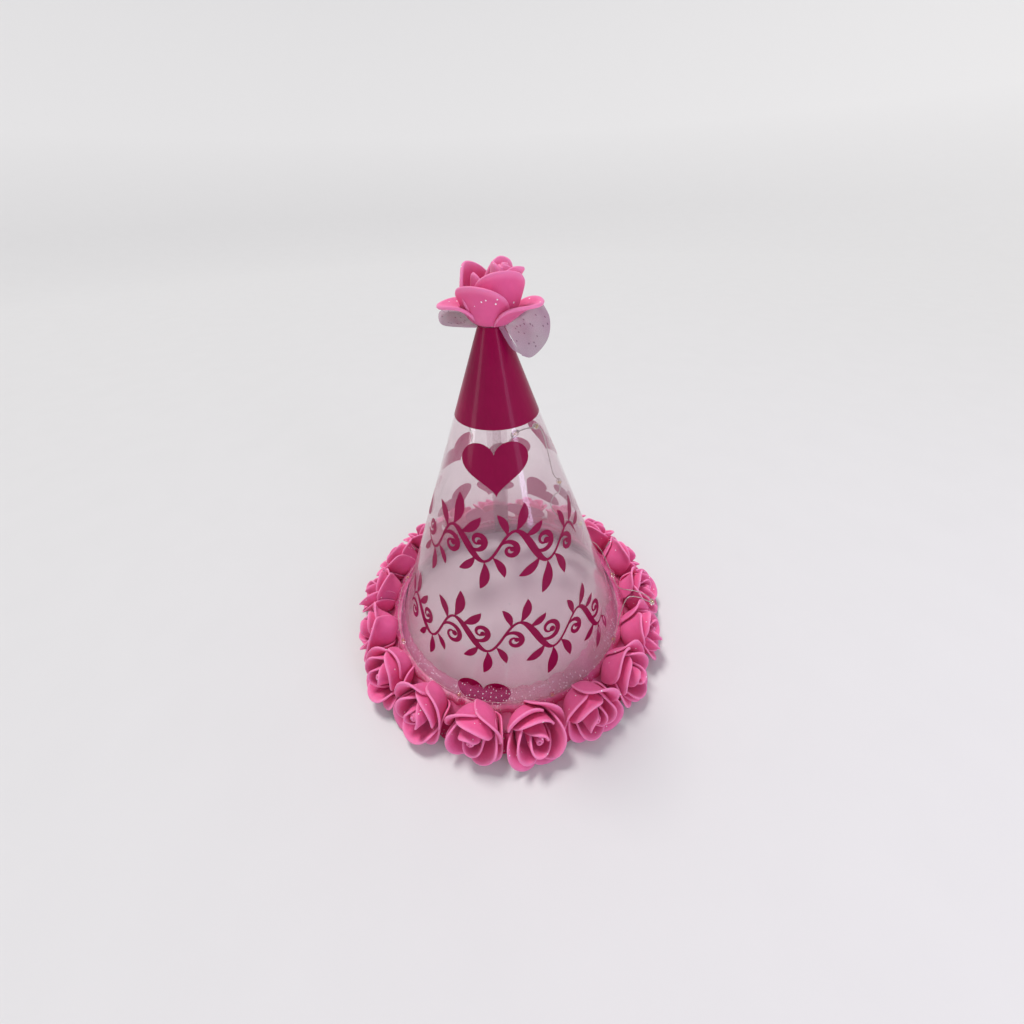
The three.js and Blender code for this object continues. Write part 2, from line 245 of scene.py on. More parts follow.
def turned_shape(outline, segments):
    """An outline of (radius, height) points, listed anticlockwise, spun about the axis."""
    outline = np.asarray(outline, float)
    bearing = np.arange(segments) * 360 / segments
    points = polar(outline[:, None, 0], bearing[None, :], outline[:, None, 1])
    count = len(outline)
    corner = np.arange(count * segments).reshape(count, segments)
    turned = np.roll(corner, -1, axis=1)
    wall = np.stack([
        corner[:-1].ravel(), turned[:-1].ravel(), turned[1:].ravel(), corner[1:].ravel(),
    ], axis=-1)
    return {"points": points.reshape(-1, 3), "faces": wall}


def placed(shape, matrix, offset=(0, 0, 0)):
    """A shape turned by a 3 by 3 matrix and then moved."""
    return {**shape, "points": shape["points"] @ np.asarray(matrix).T + np.asarray(offset)}


def joined(shapes):
    """Several shapes as one, with their face numbers shifted past each other's points."""
    starts = np.cumsum([0] + [len(shape["points"]) for shape in shapes])
    whole = {
        "points": np.concatenate([shape["points"] for shape in shapes]),
        "faces": np.concatenate([shape["faces"] + at for shape, at in zip(shapes, starts)]),
    }
    caps = [shape["caps"] + at for shape, at in zip(shapes, starts) if "caps" in shape]
    if caps:
        whole["caps"] = np.concatenate(caps)
    for key in ("cut", "cloth"):
        if all(key in shape for shape in shapes):
            whole[key] = np.concatenate([shape[key] for shape in shapes])
    return whole


def surface_area(shape):
    """Area of a shape's quads, each taken as half the cross product of its diagonals."""
    corners = shape["points"][shape["faces"]]
    across = np.cross(corners[:, 2] - corners[:, 0], corners[:, 3] - corners[:, 1])
    return float(np.linalg.norm(across, axis=1).sum() / 2)


def piece_from(name, shape, material, node=(), smooth=True):
    """Make the object, give it its material, hang it on the hat's body and hide the CAD nodes it
    replaces.

    Every piece made here rides on the hat itself, as the cap and the knob are CAD nodes.

    "cut" becomes a number on every point, and "cloth" becomes the piece's own UV map.
    """
    mesh = bpy.data.meshes.new(name)
    points = shape["points"]
    corners = shape["faces"].ravel()
    sizes = np.full(len(shape["faces"]), shape["faces"].shape[1])
    if "caps" in shape:
        corners = np.concatenate([corners, shape["caps"].ravel()])
        sizes = np.concatenate([sizes, np.full(len(shape["caps"]), shape["caps"].shape[1])])
    mesh.vertices.add(len(points))
    mesh.vertices.foreach_set("co", points.astype(np.float32).ravel())
    mesh.loops.add(len(corners))
    mesh.loops.foreach_set("vertex_index", corners.astype(np.int32))
    mesh.polygons.add(len(sizes))
    starts = np.concatenate([[0], np.cumsum(sizes)[:-1]])
    mesh.polygons.foreach_set("loop_start", starts.astype(np.int32))
    if "cut" in shape:
        values = mesh.attributes.new("cut", "FLOAT", "POINT")
        values.data.foreach_set("value", shape["cut"].astype(np.float32))
    if "cloth" in shape:
        layer = mesh.uv_layers.new(name="cloth")
        layer.data.foreach_set("uv", shape["cloth"][corners].astype(np.float32).ravel())
    mesh.update(calc_edges=True)
    mesh.validate()
    mesh.polygons.foreach_set("use_smooth", np.full(len(mesh.polygons), smooth))
    mesh.materials.append(material)
    piece = bpy.data.objects.new(name, mesh)
    bpy.context.scene.collection.objects.link(piece)
    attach(piece, "hat")
    if node:
        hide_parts(*node)
    return piece


# ---- materials ----

def screen(red, green, blue):
    """A colour as it looks on a screen, 0 to 255, turned into light."""
    parts = np.array([red, green, blue]) / 255
    return tuple(np.where(parts <= 0.04045, parts / 12.92, ((parts + 0.055) / 1.055) ** 2.4))


class Signal:
    """A shader socket that can be used in plain sums."""

    def __init__(self, paint, socket):
        self.paint = paint
        self.socket = socket

    def __add__(self, other):
        return self.paint.sum("ADD", self, other)

    def __sub__(self, other):
        return self.paint.sum("SUBTRACT", self, other)

    def __rsub__(self, other):
        return self.paint.sum("SUBTRACT", other, self)

    def __mul__(self, other):
        return self.paint.sum("MULTIPLY", self, other)

    def __truediv__(self, other):
        return self.paint.sum("DIVIDE", self, other)

    def __pow__(self, other):
        return self.paint.sum("POWER", self, other)

    __radd__ = __add__
    __rmul__ = __mul__

    def above(self, other):
        """1 where this is more than the other value, else 0."""
        return self.paint.sum("GREATER_THAN", self, other)

    def clamped(self):
        """The value held between 0 and 1."""
        return self.paint.node("ShaderNodeClamp", {}, {0: self})


class Paint:
    """One material and the calls that add nodes to it."""

    def __init__(self, name):
        self.material = bpy.data.materials.new(name)
        self.material.use_nodes = True
        self.tree = self.material.node_tree
        self.tree.nodes.clear()

    def node(self, kind, settings, sockets, output=0):
        """Add a node: settings first, then its socket values or links."""
        made = self.tree.nodes.new(kind)
        for key, value in settings.items():
            setattr(made, key, value)
        for key, value in sockets.items():
            socket = made.inputs[key]
            if isinstance(value, Signal):
                self.tree.links.new(value.socket, socket)
            elif socket.type == "RGBA" and len(value) == 3:
                socket.default_value = (*value, 1)
            else:
                socket.default_value = value
        return Signal(self, made.outputs[output])

    def sum(self, operation, first, second):
        return self.node("ShaderNodeMath", {"operation": operation}, {0: first, 1: second})

    def place(self, scale=1.0):
        """Object coordinates, stretched by a scale or three."""
        spot = self.node("ShaderNodeTexCoord", {}, {}, "Object")
        sizes = scale if hasattr(scale, "__len__") else (scale,) * 3
        return self.node("ShaderNodeMapping", {}, {"Vector": spot, "Scale": sizes})

    def cloth(self, scale):
        """The piece's own cloth map, in metres times a scale."""
        spot = self.node("ShaderNodeUVMap", {"uv_map": "cloth"}, {})
        return self.node("ShaderNodeMapping", {}, {"Vector": spot, "Scale": (scale,) * 3})

    def noise(self, where, scale, detail=2.0, roughness=0.5):
        return self.node(
            "ShaderNodeTexNoise", {},
            {"Vector": where, "Scale": scale, "Detail": detail, "Roughness": roughness},
        )

    def cells(self, where, scale, feature="F1", output="Distance", space="3D"):
        return self.node(
            "ShaderNodeTexVoronoi", {"voronoi_dimensions": space, "feature": feature},
            {"Vector": where, "Scale": scale}, output,
        )

    def attribute(self, name):
        return self.node("ShaderNodeAttribute", {"attribute_name": name}, {}, "Fac")

    def blend(self, share, first, second):
        """One colour turning into another."""
        return self.node(
            "ShaderNodeMix", {"data_type": "RGBA"}, {0: share, 6: first, 7: second}, 2,
        )

    def bump(self, height, distance, strength=1.0):
        return self.node(
            "ShaderNodeBump", {},
            {"Height": height, "Distance": distance, "Strength": strength},
        )

    def surface(self, sockets):
        return self.node("ShaderNodeBsdfPrincipled", {}, sockets)

    def mixed(self, share, first, second):
        return self.node("ShaderNodeMixShader", {}, {0: share, 1: first, 2: second})

    def finished(self, shader):
        output = self.tree.nodes.new("ShaderNodeOutputMaterial")
        self.tree.links.new(shader.socket, output.inputs["Surface"])
        return self.material


def foam_finish(name, colour, rim_and_glow_colour, shade, sparkle=0.8):
    """Craft foam: matt skin with fine cells, soft mottling, paler cut edges, and a painted glow of light
    through the thin foam near the top edges.

    It has a few specks of glitter, fewer as sparkle nears 1.
    """
    paint = Paint(name)
    mottle = paint.noise(paint.place(), 260.0, 3.0)
    # rim: the paler cut edge, and beside it a band of painted glow of light through the thin foam
    rim = (paint.attribute("cut") * 1.0).clamped()
    body = paint.blend(mottle, colour, shade)
    cells = paint.noise(paint.place(), 5200.0, 2.0, 0.7)
    dents = paint.noise(paint.place(), 700.0, 2.0)
    lucky = paint.node(
        "ShaderNodeSeparateColor", {}, {0: paint.cells(paint.place(), 420.0, "F1", "Color")},
    )
    glitter = (0.12 - paint.cells(paint.place(), 420.0)).above(0.0) * lucky.above(sparkle)
    foam = paint.blend(rim, body, rim_and_glow_colour)
    shader = paint.surface({
        "Base Color": paint.blend(glitter, foam, (0.96, 0.9, 0.94)),
        "Roughness": 0.62 + mottle * 0.14,
        "Normal": paint.bump(cells * 0.35 + dents, 0.00022, 0.5),
        "Subsurface Weight": 0.22,
        "Subsurface Radius": (1.0, 0.32, 0.5),
        "Subsurface Scale": 0.0016,
        "Sheen Weight": 0.06,
        "Specular IOR Level": 0.2,
    })
    return paint.finished(shader)


def film_finish(name, haze):
    """Clear film: a mirror that grows at a slant, over nothing, with thin milky haze."""
    paint = Paint(name)
    clouds = paint.noise(paint.place((1.0, 1.0, 0.5)), 34.0, 3.0, 0.55)
    scuffs = paint.noise(paint.place((1.0, 1.0, 0.06)), 420.0, 2.0)
    spot = paint.node("ShaderNodeTexCoord", {}, {}, "Object")
    height = paint.node("ShaderNodeSeparateXYZ", {}, {0: spot}, 2)
    low = 1 - (height / (0.75 * APEX)).clamped()
    dull = (haze * (0.3 + low * 1.9) * (clouds * 2.2 - 0.1)).clamped()
    ripple = paint.bump(paint.noise(paint.place((1.0, 1.0, 0.25)), 60.0, 1.0), 0.0012, 0.35)
    facing = paint.node("ShaderNodeLayerWeight", {}, {"Blend": 0.5, "Normal": ripple}, 1)
    slant = 0.035 + facing ** 5 * 0.75
    gloss = paint.node(
        "ShaderNodeBsdfGlossy", {},
        {"Color": (1, 1, 1), "Roughness": 0.04 + scuffs * 0.08, "Normal": ripple},
    )
    clear = paint.node("ShaderNodeBsdfTransparent", {}, {"Color": (0.982, 0.952, 0.964)})
    # The haze turns pinker towards the bottom: painted pink light from the roses and tulle round the
    # rim.
    milk = paint.surface({
        "Base Color": paint.blend(low ** 2, screen(222, 200, 204), screen(226, 150, 182)),
        "Roughness": 0.5,
    })
    return paint.finished(paint.mixed(dull, paint.mixed(slant, clear, gloss), milk))


def print_finish(name, colour, through=0.0):
    """Raspberry ink on film: even colour with faint long streaks under a clear gloss.

    A share of the light goes through the ink and comes out tinted.
    """
    paint = Paint(name)
    streak = paint.noise(paint.place((1.0, 1.0, 0.04)), 900.0, 2.0)
    wear = paint.noise(paint.place(), 120.0, 2.0)
    dark = tuple(part * 0.72 for part in colour)
    ripple = paint.bump(paint.noise(paint.place((1.0, 1.0, 0.25)), 60.0, 1.0), 0.0012, 0.35)
    shader = paint.surface({
        "Base Color": paint.blend((streak * 0.6 + wear * 0.4), colour, dark),
        "Roughness": 0.34 + streak * 0.1,
        "Coat Weight": 0.4,
        "Coat Roughness": 0.1,
        "Coat IOR": 1.28,
        "Specular IOR Level": 0.05,
        "Normal": ripple,
    })
    if not through:
        return paint.finished(shader)
    glow = paint.node("ShaderNodeBsdfTranslucent", {}, {"Color": screen(214, 92, 150)})
    return paint.finished(paint.mixed(through, shader, glow))


def tulle_finish(name, colour, cover, packed=0.0, dot_colour=(0.9, 0.82, 0.86)):
    """Net with glitter: a lattice of fine threads, mostly open, and scattered bright dots."""
    paint = Paint(name)
    cloth = paint.cloth(1000.0)
    net = paint.cells(cloth, 1.35, "DISTANCE_TO_EDGE", "Distance", "2D")
    thread = 1 - (net * 9.0).clamped()
    dots = paint.cells(cloth, 0.62, "F1", "Distance", "2D")
    keep = paint.cells(cloth, 0.62, "F1", "Color", "2D")
    lucky = paint.node("ShaderNodeSeparateColor", {}, {0: keep})
    dot = (0.17 - dots).above(0.0) * lucky.above(0.7)
    folds = paint.noise(paint.cloth(1000.0), 0.12, 2.0)
    # Towards the foot the net turns a darker, deeper pink: partly layers of gathered net, partly painted
    # shade between the roses.
    deep_pink_and_shade = tuple(part * share for part, share in zip(colour, (0.82, 0.36, 0.55)))
    depth = paint.node("ShaderNodeSeparateXYZ", {}, {0: cloth}, 1)
    gathered = ((depth - 5.5) / 7.0).clamped() * packed
    thickness = (cover * (0.55 + folds * 0.5) + gathered + thread * 0.15 + dot).clamped()
    shader = paint.surface({
        "Base Color": paint.blend(dot, paint.blend(gathered, colour, deep_pink_and_shade), dot_colour),
        "Roughness": 0.62 - dot * 0.35,
        "Metallic": dot * 0.4,
        "Sheen Weight": 0.1,
        "Specular IOR Level": 0.15,
        "Alpha": thickness,
    })
    return paint.finished(shader)


def plain_finish(name, colour, roughness, metallic=0.0, grain=900.0, depth=0.00005):
    """Moulded or metal stock: a fine grain in the colour, the roughness and the surface."""
    paint = Paint(name)
    speck = paint.noise(paint.place(), grain, 3.0)
    wear = paint.noise(paint.place(), grain / 8, 2.0)
    dark = tuple(part * 0.8 for part in colour)
    shader = paint.surface({
        "Base Color": paint.blend(wear, colour, dark),
        "Roughness": roughness + speck * 0.12,
        "Metallic": metallic,
        "Normal": paint.bump(speck, depth, 0.6),
    })
    return paint.finished(shader)


def glue_finish(name):
    """Hot glue: waxy and half clear, pink from the net and foam pressed into it."""
    paint = Paint(name)
    lumps = paint.noise(paint.place(), 180.0, 3.0)
    shader = paint.surface({
        "Base Color": paint.blend(lumps, screen(238, 138, 182), screen(214, 96, 150)),
        "Roughness": 0.22 + lumps * 0.2,
        "Subsurface Weight": 0.5,
        "Subsurface Radius": (1.0, 0.5, 0.65),
        "Subsurface Scale": 0.003,
        "Normal": paint.bump(lumps, 0.0004, 0.8),
    })
    return paint.finished(shader)


def resin_finish(name):
    """The clear resin of a light bead."""
    paint = Paint(name)
    swirl = paint.noise(paint.place(), 1500.0, 2.0)
    shader = paint.surface({
        "Base Color": screen(236, 232, 224),
        "Roughness": 0.05 + swirl * 0.08,
        "Transmission Weight": 0.9,
        "IOR": 1.45,
        "Coat Weight": 0.5,
    })
    return paint.finished(shader)


# ---- sizes and colours that a user would change ----

class HAT_PG_film(bpy.types.PropertyGroup):
    """The rolled film and its print."""

    wall: FloatProperty(
        name="Film thickness", description="Thickness of the rolled film",
        default=0.4 * MM, min=0.1 * MM, max=1 * MM, unit="LENGTH", precision=5,
    )
    overlap: FloatProperty(
        name="Seam overlap", description="How far the film's edges overlap at the seam",
        default=9 * MM, min=2 * MM, max=20 * MM, unit="LENGTH", precision=4,
    )
    haze: FloatProperty(
        name="Haze", description="How milky the clear film is",
        default=0.1, min=0, max=1, subtype="FACTOR",
    )
    ink: FloatVectorProperty(
        name="Ink", description="Colour of the print on the film",
        default=screen(152, 0, 70), size=3, min=0, max=1, subtype="COLOR",
    )
    band: FloatProperty(
        name="Band height", description="Height where the solid printed tip begins",
        default=0.7465 * APEX, min=0, max=APEX, unit="LENGTH", precision=4,
    )
    heart: FloatProperty(
        name="Heart width", description="Width of a printed heart",
        default=24.7 * MM, min=5 * MM, max=40 * MM, unit="LENGTH", precision=4,
    )


class HAT_PG_roses(bpy.types.PropertyGroup):
    """The foam roses."""

    foam: FloatProperty(
        name="Foam thickness", description="Thickness of the foam sheet",
        default=0.85 * MM, min=0.5 * MM, max=2 * MM, unit="LENGTH", precision=5,
    )
    ring_radius: FloatProperty(
        name="Ring radius", description="From the hat's axis to the middle of a brim rose",
        default=RIM_RADIUS + 10.6 * MM, min=0.05, max=0.1, unit="LENGTH", precision=4,
    )
    ring_height: FloatProperty(
        name="Ring height", description="Height of the middle of a brim rose",
        default=11 * MM, min=0, max=0.03, unit="LENGTH", precision=4,
    )
    face_up: FloatProperty(
        name="Facing", description="How far a brim rose looks up from level, in degrees",
        default=22.0, min=0, max=90,
    )
    colour: FloatVectorProperty(
        name="Petal colour", description="Colour of the petals' foam",
        default=screen(237, 106, 160), size=3, min=0, max=1, subtype="COLOR",
    )
    cut_edge_and_glow_colour: FloatVectorProperty(
        name="Cut edge colour", description="Colour of the foam where it is cut",
        default=screen(244, 138, 186), size=3, min=0, max=1, subtype="COLOR",
    )
    seed: IntProperty(
        name="Seed", description="Start of the small differences between roses",
        default=7, min=0,
    )


class HAT_PG_tulle(bpy.types.PropertyGroup):
    """The gathered tulle."""

    colour: FloatVectorProperty(
        name="Net colour", description="Colour of the net",
        default=screen(236, 108, 170), size=3, min=0, max=1, subtype="COLOR",
    )
    cover: FloatProperty(
        name="Cover", description="How much of the light the net stops",
        default=0.3, min=0, max=1, subtype="FACTOR",
    )
    waves: IntProperty(
        name="Folds", description="Gathered folds round the rim",
        default=52, min=4, max=90,
    )
    frill: FloatProperty(
        name="Frill height", description="How far the tulle stands above its gather line",
        default=13 * MM, min=0, max=0.03, unit="LENGTH", precision=4,
    )


class HAT_PG_lights(bpy.types.PropertyGroup):
    """The light string."""

    strand: FloatProperty(
        name="Strand radius", description="Radius of each of the two twisted wires",
        default=0.14 * MM, min=0.05 * MM, max=0.5 * MM, unit="LENGTH", precision=5,
    )
    bead: FloatProperty(
        name="Bead radius", description="Radius of a light bead",
        default=1.3 * MM, min=0.5 * MM, max=3 * MM, unit="LENGTH", precision=5,
    )


class HAT_PG_stage(bpy.types.PropertyGroup):
    """The floor, the lights and the camera."""

    floor: FloatVectorProperty(
        name="Floor colour", description="Colour of the floor and backdrop",
        default=screen(220, 219, 219), size=3, min=0, max=1, subtype="COLOR",
    )
    key_power: FloatProperty(
        name="Key light", description="Strength of the main light",
        default=2.05, min=0, max=20,
    )


# ---- the film and its print ----

def film_radius(bearing, height, wall):
    """Distance from the axis to the middle of the film's thickness.

    It is the cone's, and the end of the strip that lies over the start is stepped out
    by a little over one thickness.
    """
    past = (bearing - SEAM_BEARING - 360) * np.radians(1) * RIM_RADIUS
    step = ease(past / (2 * MM) + 1) * wall * 1.05
    return cone_radius(height) - wall / 2 / LEAN_COSINE + step


def film_shape(settings):
    """The film as one rolled strip from the seam right round and over its own start."""
    lap = math.degrees(settings.overlap / RIM_RADIUS)
    bearing = np.linspace(SEAM_BEARING - lap / 2, SEAM_BEARING + 360 + lap / 2, 289)
    height = np.linspace(0.15 * MM, FILM_TOP, 61)
    radius = film_radius(bearing[None, :], height[:, None], settings.wall)
    return closed_sheet(polar(radius, bearing[None, :], height[:, None])[::-1], settings.wall)


def on_film(flat, bearing, height, lift):
    """Flat artwork laid on the cone at a bearing and height.

    The cone unrolls to a fan. The artwork's origin goes on the fan at that slant
    distance from the apex, each point's distance and angle from the apex are read off,
    and the angle divided by the cone's sine is its bearing.
    """
    slant = (1 - height / APEX) * SLANT
    x = flat[..., 0]
    down = slant - flat[..., 1]
    reach = np.hypot(x, down)
    turn = np.degrees(np.arctan2(x, down)) / LEAN_SINE
    level = APEX * (1 - reach / SLANT)
    radius = cone_radius(level) + lift / LEAN_COSINE
    return polar(radius, bearing + turn, level + lift * LEAN_SINE)


def turned_flat(flat, tilt):
    """Flat points turned anticlockwise by an angle in degrees."""
    angle = math.radians(tilt)
    cosine, sine = math.cos(angle), math.sin(angle)
    return np.stack([
        flat[..., 0] * cosine - flat[..., 1] * sine,
        flat[..., 0] * sine + flat[..., 1] * cosine,
    ], axis=-1)


def heart_grid(width):
    """A heart as rings from its middle to its outline.

    The outline is x = sin(t)^3 and y = (13 cos t - 5 cos 2t - 2 cos 3t - cos 4t) / 16,
    made a little squatter, with its middle moved to the origin.
    """
    t = np.linspace(0, 2 * np.pi, 56)
    x = np.sin(t) ** 3
    y = (13 * np.cos(t) - 5 * np.cos(2 * t) - 2 * np.cos(3 * t) - np.cos(4 * t)) / 16
    outline = np.stack([x, y * 0.86 + 0.1], axis=-1) * width / 2
    share = np.linspace(0.003, 1, 14)
    return outline[None] * share[:, None, None]


def stroke_grid(path, widths):
    """A brush stroke: each point of the path moved to both sides by half its width."""
    ahead = unit(np.gradient(path, axis=0))
    side = np.stack([-ahead[:, 1], ahead[:, 0]], axis=-1)
    across = np.linspace(0.5, -0.5, 5)
    return path[None] + side[None] * (across[:, None] * widths[None])[..., None]


# ---- the foam roses ----

def profile(start, length, slopes):
    """A curve of (radius, height) from a start.

    Its slope in degrees above level runs evenly through the list, and equal steps along
    those slopes are summed.
    """
    samples = 40
    spread = np.linspace(0, 1, samples)
    slope = np.radians(np.interp(spread, np.linspace(0, 1, len(slopes)), slopes))
    step = length / (samples - 1)
    radius = start[0] + np.concatenate([[0], np.cumsum(np.cos(slope[:-1]) * step)])
    height = start[1] + np.concatenate([[0], np.cumsum(np.sin(slope[:-1]) * step)])
    return radius, height


def petal(foam, facing, half_angle, curve, tuck=0.0, side_curl=0.0, wobble=0.0, phase=0.0,
          lop=0.0, rows=25, cols=15):
    """One foam petal about the rose's axis.

    Across the petal u runs from -1 to 1, and up it v from 0 to 1. The petal reaches
    v times (1 - |u|^2.4)^(1/2) of the way along its curve, which rounds its top edge.
    Its angle is the facing angle plus u half-widths. tuck draws one side in under the
    next petal, side_curl bends both sides outwards, wobble waves the top edge, and lop
    makes the side at -1 taller than the side at 1.
    """
    u = np.sin(np.linspace(-np.pi / 2, np.pi / 2, rows))[:, None] * 0.975
    v = np.linspace(0, 1, cols)[None, :]
    share = v * (1 - np.abs(u) ** 2.4) ** 0.5 * (1 - lop * u) / (1 + abs(lop) * 0.6)
    spread = np.linspace(0, 1, len(curve[0]))
    radius = np.interp(share, spread, curve[0])
    height = np.interp(share, spread, curve[1])
    radius = radius + tuck * u + side_curl * u ** 4 * v
    wave = wobble * v ** 3 * np.sin(5 * u + phase)
    angle = facing + half_angle * u
    points = polar(radius + wave, angle, height - 0.5 * wave)
    # edge: painted glow along the top edge, where light would shine through the thin foam
    edge = ease((v - 0.86) / 0.14) * np.ones_like(u) * 0.75
    return closed_sheet(points[::-1], foam, edge[::-1])


def rolled_core(foam, turns, inner, low, high, dome, phase):
    """The bud's middle: a strip rolled up.

    Each turn lies a little over one foam thickness outside the last. The top edge falls
    away from the middle and is drawn in a little.
    """
    along = np.linspace(0, 1, 70)[:, None]
    up = np.linspace(0, 1, 9)[None, :]
    angle = phase + along * turns * 360
    radius = inner + foam * 1.18 * turns * along
    top = high - dome * along ** 1.6
    height = low + (top - low) * up
    # edge: painted glow along the top edge, where light would shine through the thin foam
    edge = ease((up - 0.85) / 0.15) * np.ones_like(along) * 0.75
    points = polar(radius * (1 - 0.25 * up ** 3), angle, height)
    return closed_sheet(points[::-1], foam, edge[::-1])


def petal_layer(foam, dice, count, start_angle, half_angle, start, length, slopes, **more):
    """A ring of like petals, each a little different."""
    shapes = []
    for i in range(count):
        reach = length * dice.uniform(0.93, 1.07)
        bend = [slope + dice.uniform(-7, 7) * (k > 1) for k, slope in enumerate(slopes)]
        facing = start_angle + 360 / count * i + dice.uniform(-9, 9)
        shapes.append(petal(
            foam, facing, half_angle * dice.uniform(0.94, 1.06),
            profile(start, reach, bend), phase=dice.uniform(0, 6.3), **more,
        ))
    return shapes


def rose_bud(foam, dice, size):
    """Rolled middle and two petals wrapped round it."""
    spin = dice.uniform(0, 360)
    core = rolled_core(foam, 1.7, 0.4 * MM, -6 * size, 5.4 * size, 1.1 * size, spin)
    wraps = petal_layer(
        foam, dice, 2, spin + 40, 118, (2.2 * size, -5.6 * size), 12.6 * size,
        (50, 80, 94, 96, 84), tuck=1.1 * size,
    )
    return joined([core] + wraps)


def rose_petals(foam, dice, size):
    """Three half-open petals inside four broad ones that curl outwards."""
    spin = dice.uniform(0, 360)
    middle = petal_layer(
        foam, dice, 3, spin, 84, (3.4 * size, -7.0 * size), 14.2 * size,
        (25, 62, 82, 82, 62), tuck=1.0 * size, side_curl=0.5 * size, wobble=0.25 * MM,
    )
    outer = petal_layer(
        foam, dice, 4, spin + 30, 68, (3.6 * size, -8.4 * size), 15.2 * size,
        (15, 50, 74, 70, 50, 16), tuck=1.1 * size, side_curl=0.6 * size, wobble=0.35 * MM,
    )
    return joined(middle + outer)


def settled(shape, bearing):
    """A brim rose pressed against its neighbours, the cone and the table.

    Its points' bearings bend back towards its own past 80 % of half the pitch, they stay
    outside the film, and they stay above the table.
    """
    points = shape["points"]
    radius = np.hypot(points[:, 0], points[:, 1])
    turn = np.degrees(np.arctan2(points[:, 0], -points[:, 1])) - bearing
    turn = (turn + 180) % 360 - 180
    share = np.abs(turn) / (ROSE_PITCH / 2)
    pressed = np.where(share > 0.8, 0.8 + 0.26 * np.tanh((share - 0.8) / 0.26), share)
    turn = np.sign(turn) * pressed * ROSE_PITCH / 2
    height = np.maximum(points[:, 2], 1.0 * MM + 0.25 * (points[:, 2] - 1.0 * MM))
    height = np.maximum(height, 0.6 * MM)
    radius = np.maximum(radius, cone_radius(height) + 1.2 * MM)
    return {**shape, "points": polar(radius, bearing + turn, height)}


# ---- the light string's route, in millimetres and degrees ----

WIRE_ROUTE = (
    (6.3, -60, 132),
    (7.3, -60, 132),
    (8.0, -60, 131.7),
    (8.3, -60, 130.4),
    (8.8, -60, 127),
    (9.6, -60, 123.5),
    (11.0, -52, 120),
    (13.2, -36, 116.6),
    (14.9, -24, 113.2),
    (15.8, -22, 110.8),
    (16.4, -16, 109),
    (16.8, -4, 108.2),
    (16.6, 12, 108.8),
    (15.4, 26, 111.6),
    (14.2, 37, 113.6, True),
    (14.4, 52, 114.2),
    (14.8, 70, 113),
    (14.7, 82, 112, True),
    (16.4, 92, 109),
    (18.0, 92, 104),
    (20.0, 84, 98.5),
    (22.0, 80, 93),
    (24.0, 88, 87.5, True),
    (24.6, 82, 84.6),
    (24.2, 70, 86.4),
    (24.6, 62, 84),
    (27.0, 66, 78),
    (31.0, 82, 70),
    (35.0, 100, 60, True),
    (39.4, 114, 49),
    (43.8, 122, 37),
    (47.2, 127, 27.5),
    (49.6, 128, 24),
    (52.4, 128, 23.6),
    (55.4, 125.6, 22.4),
    (57.6, 121, 18.6),
    (58.6, 115, 14),
    (58.8, 109, 12.2, True),
    (58.7, 101, 13),
    (59.2, 95, 18),
    (61.0, 91.4, 22.2),
    (66.0, 90.6, 22.6),
    (71.4, 90.4, 20),
    (73.6, 89.2, 18, True),
    (71.4, 88.0, 20),
    (66.0, 87.6, 22.6),
    (61.0, 86.6, 22.2),
    (59.0, 82, 17),
    (58.7, 76, 12.4),
    (58.8, 69, 11.8, True),
    (58.7, 59, 12.2),
    (58.9, 49, 11.8),
    (58.7, 39, 12.2),
    (58.8, 29, 11.8, True),
    (58.8, 19, 12.2),
    (58.7, 9, 11.8),
    (58.9, -1, 12.2),
    (58.8, -11, 11.8, True),
    (58.7, -21, 12.2),
    (58.9, -31, 11.8),
    (58.7, -41, 12.2),
    (58.8, -51, 11.8, True),
    (58.8, -61, 12.2),
    (58.7, -71, 11.8),
    (58.9, -81, 12.2),
    (58.8, -91, 11.8, True),
    (58.7, -101, 12.2),
    (58.9, -111, 11.8),
    (58.7, -121, 12.2),
    (58.8, -131, 11.8, True),
    (58.8, -141, 12.2),
    (58.7, -151, 11.8),
    (58.9, -161, 12.2),
    (58.8, -171, 11.8, True),
    (58.7, -181, 12.2),
    (58.9, -191, 11.8),
    (58.8, -201, 12.2),
    (58.8, -211, 11.8, True),
)


def smooth_path(points, steps):
    """A smooth curve through points.

    Each stretch is the cubic that leaves a point along the line between its two
    neighbours (Catmull and Rom's curve).
    """
    points = np.asarray(points)
    padded = np.concatenate([[2 * points[0] - points[1]], points, [2 * points[-1] - points[-2]]])
    t = np.linspace(0, 1, steps, endpoint=False)[None, :, None]
    a, b, c, d = (padded[k: len(padded) - 3 + k, None] for k in range(4))
    curve = 0.5 * (
        2 * b + (c - a) * t + (2 * a - 5 * b + 4 * c - d) * t ** 2
        + (3 * b - a - 3 * c + d) * t ** 3
    )
    return np.concatenate([curve.reshape(-1, 3), points[-1:]])


# ---- operators ----

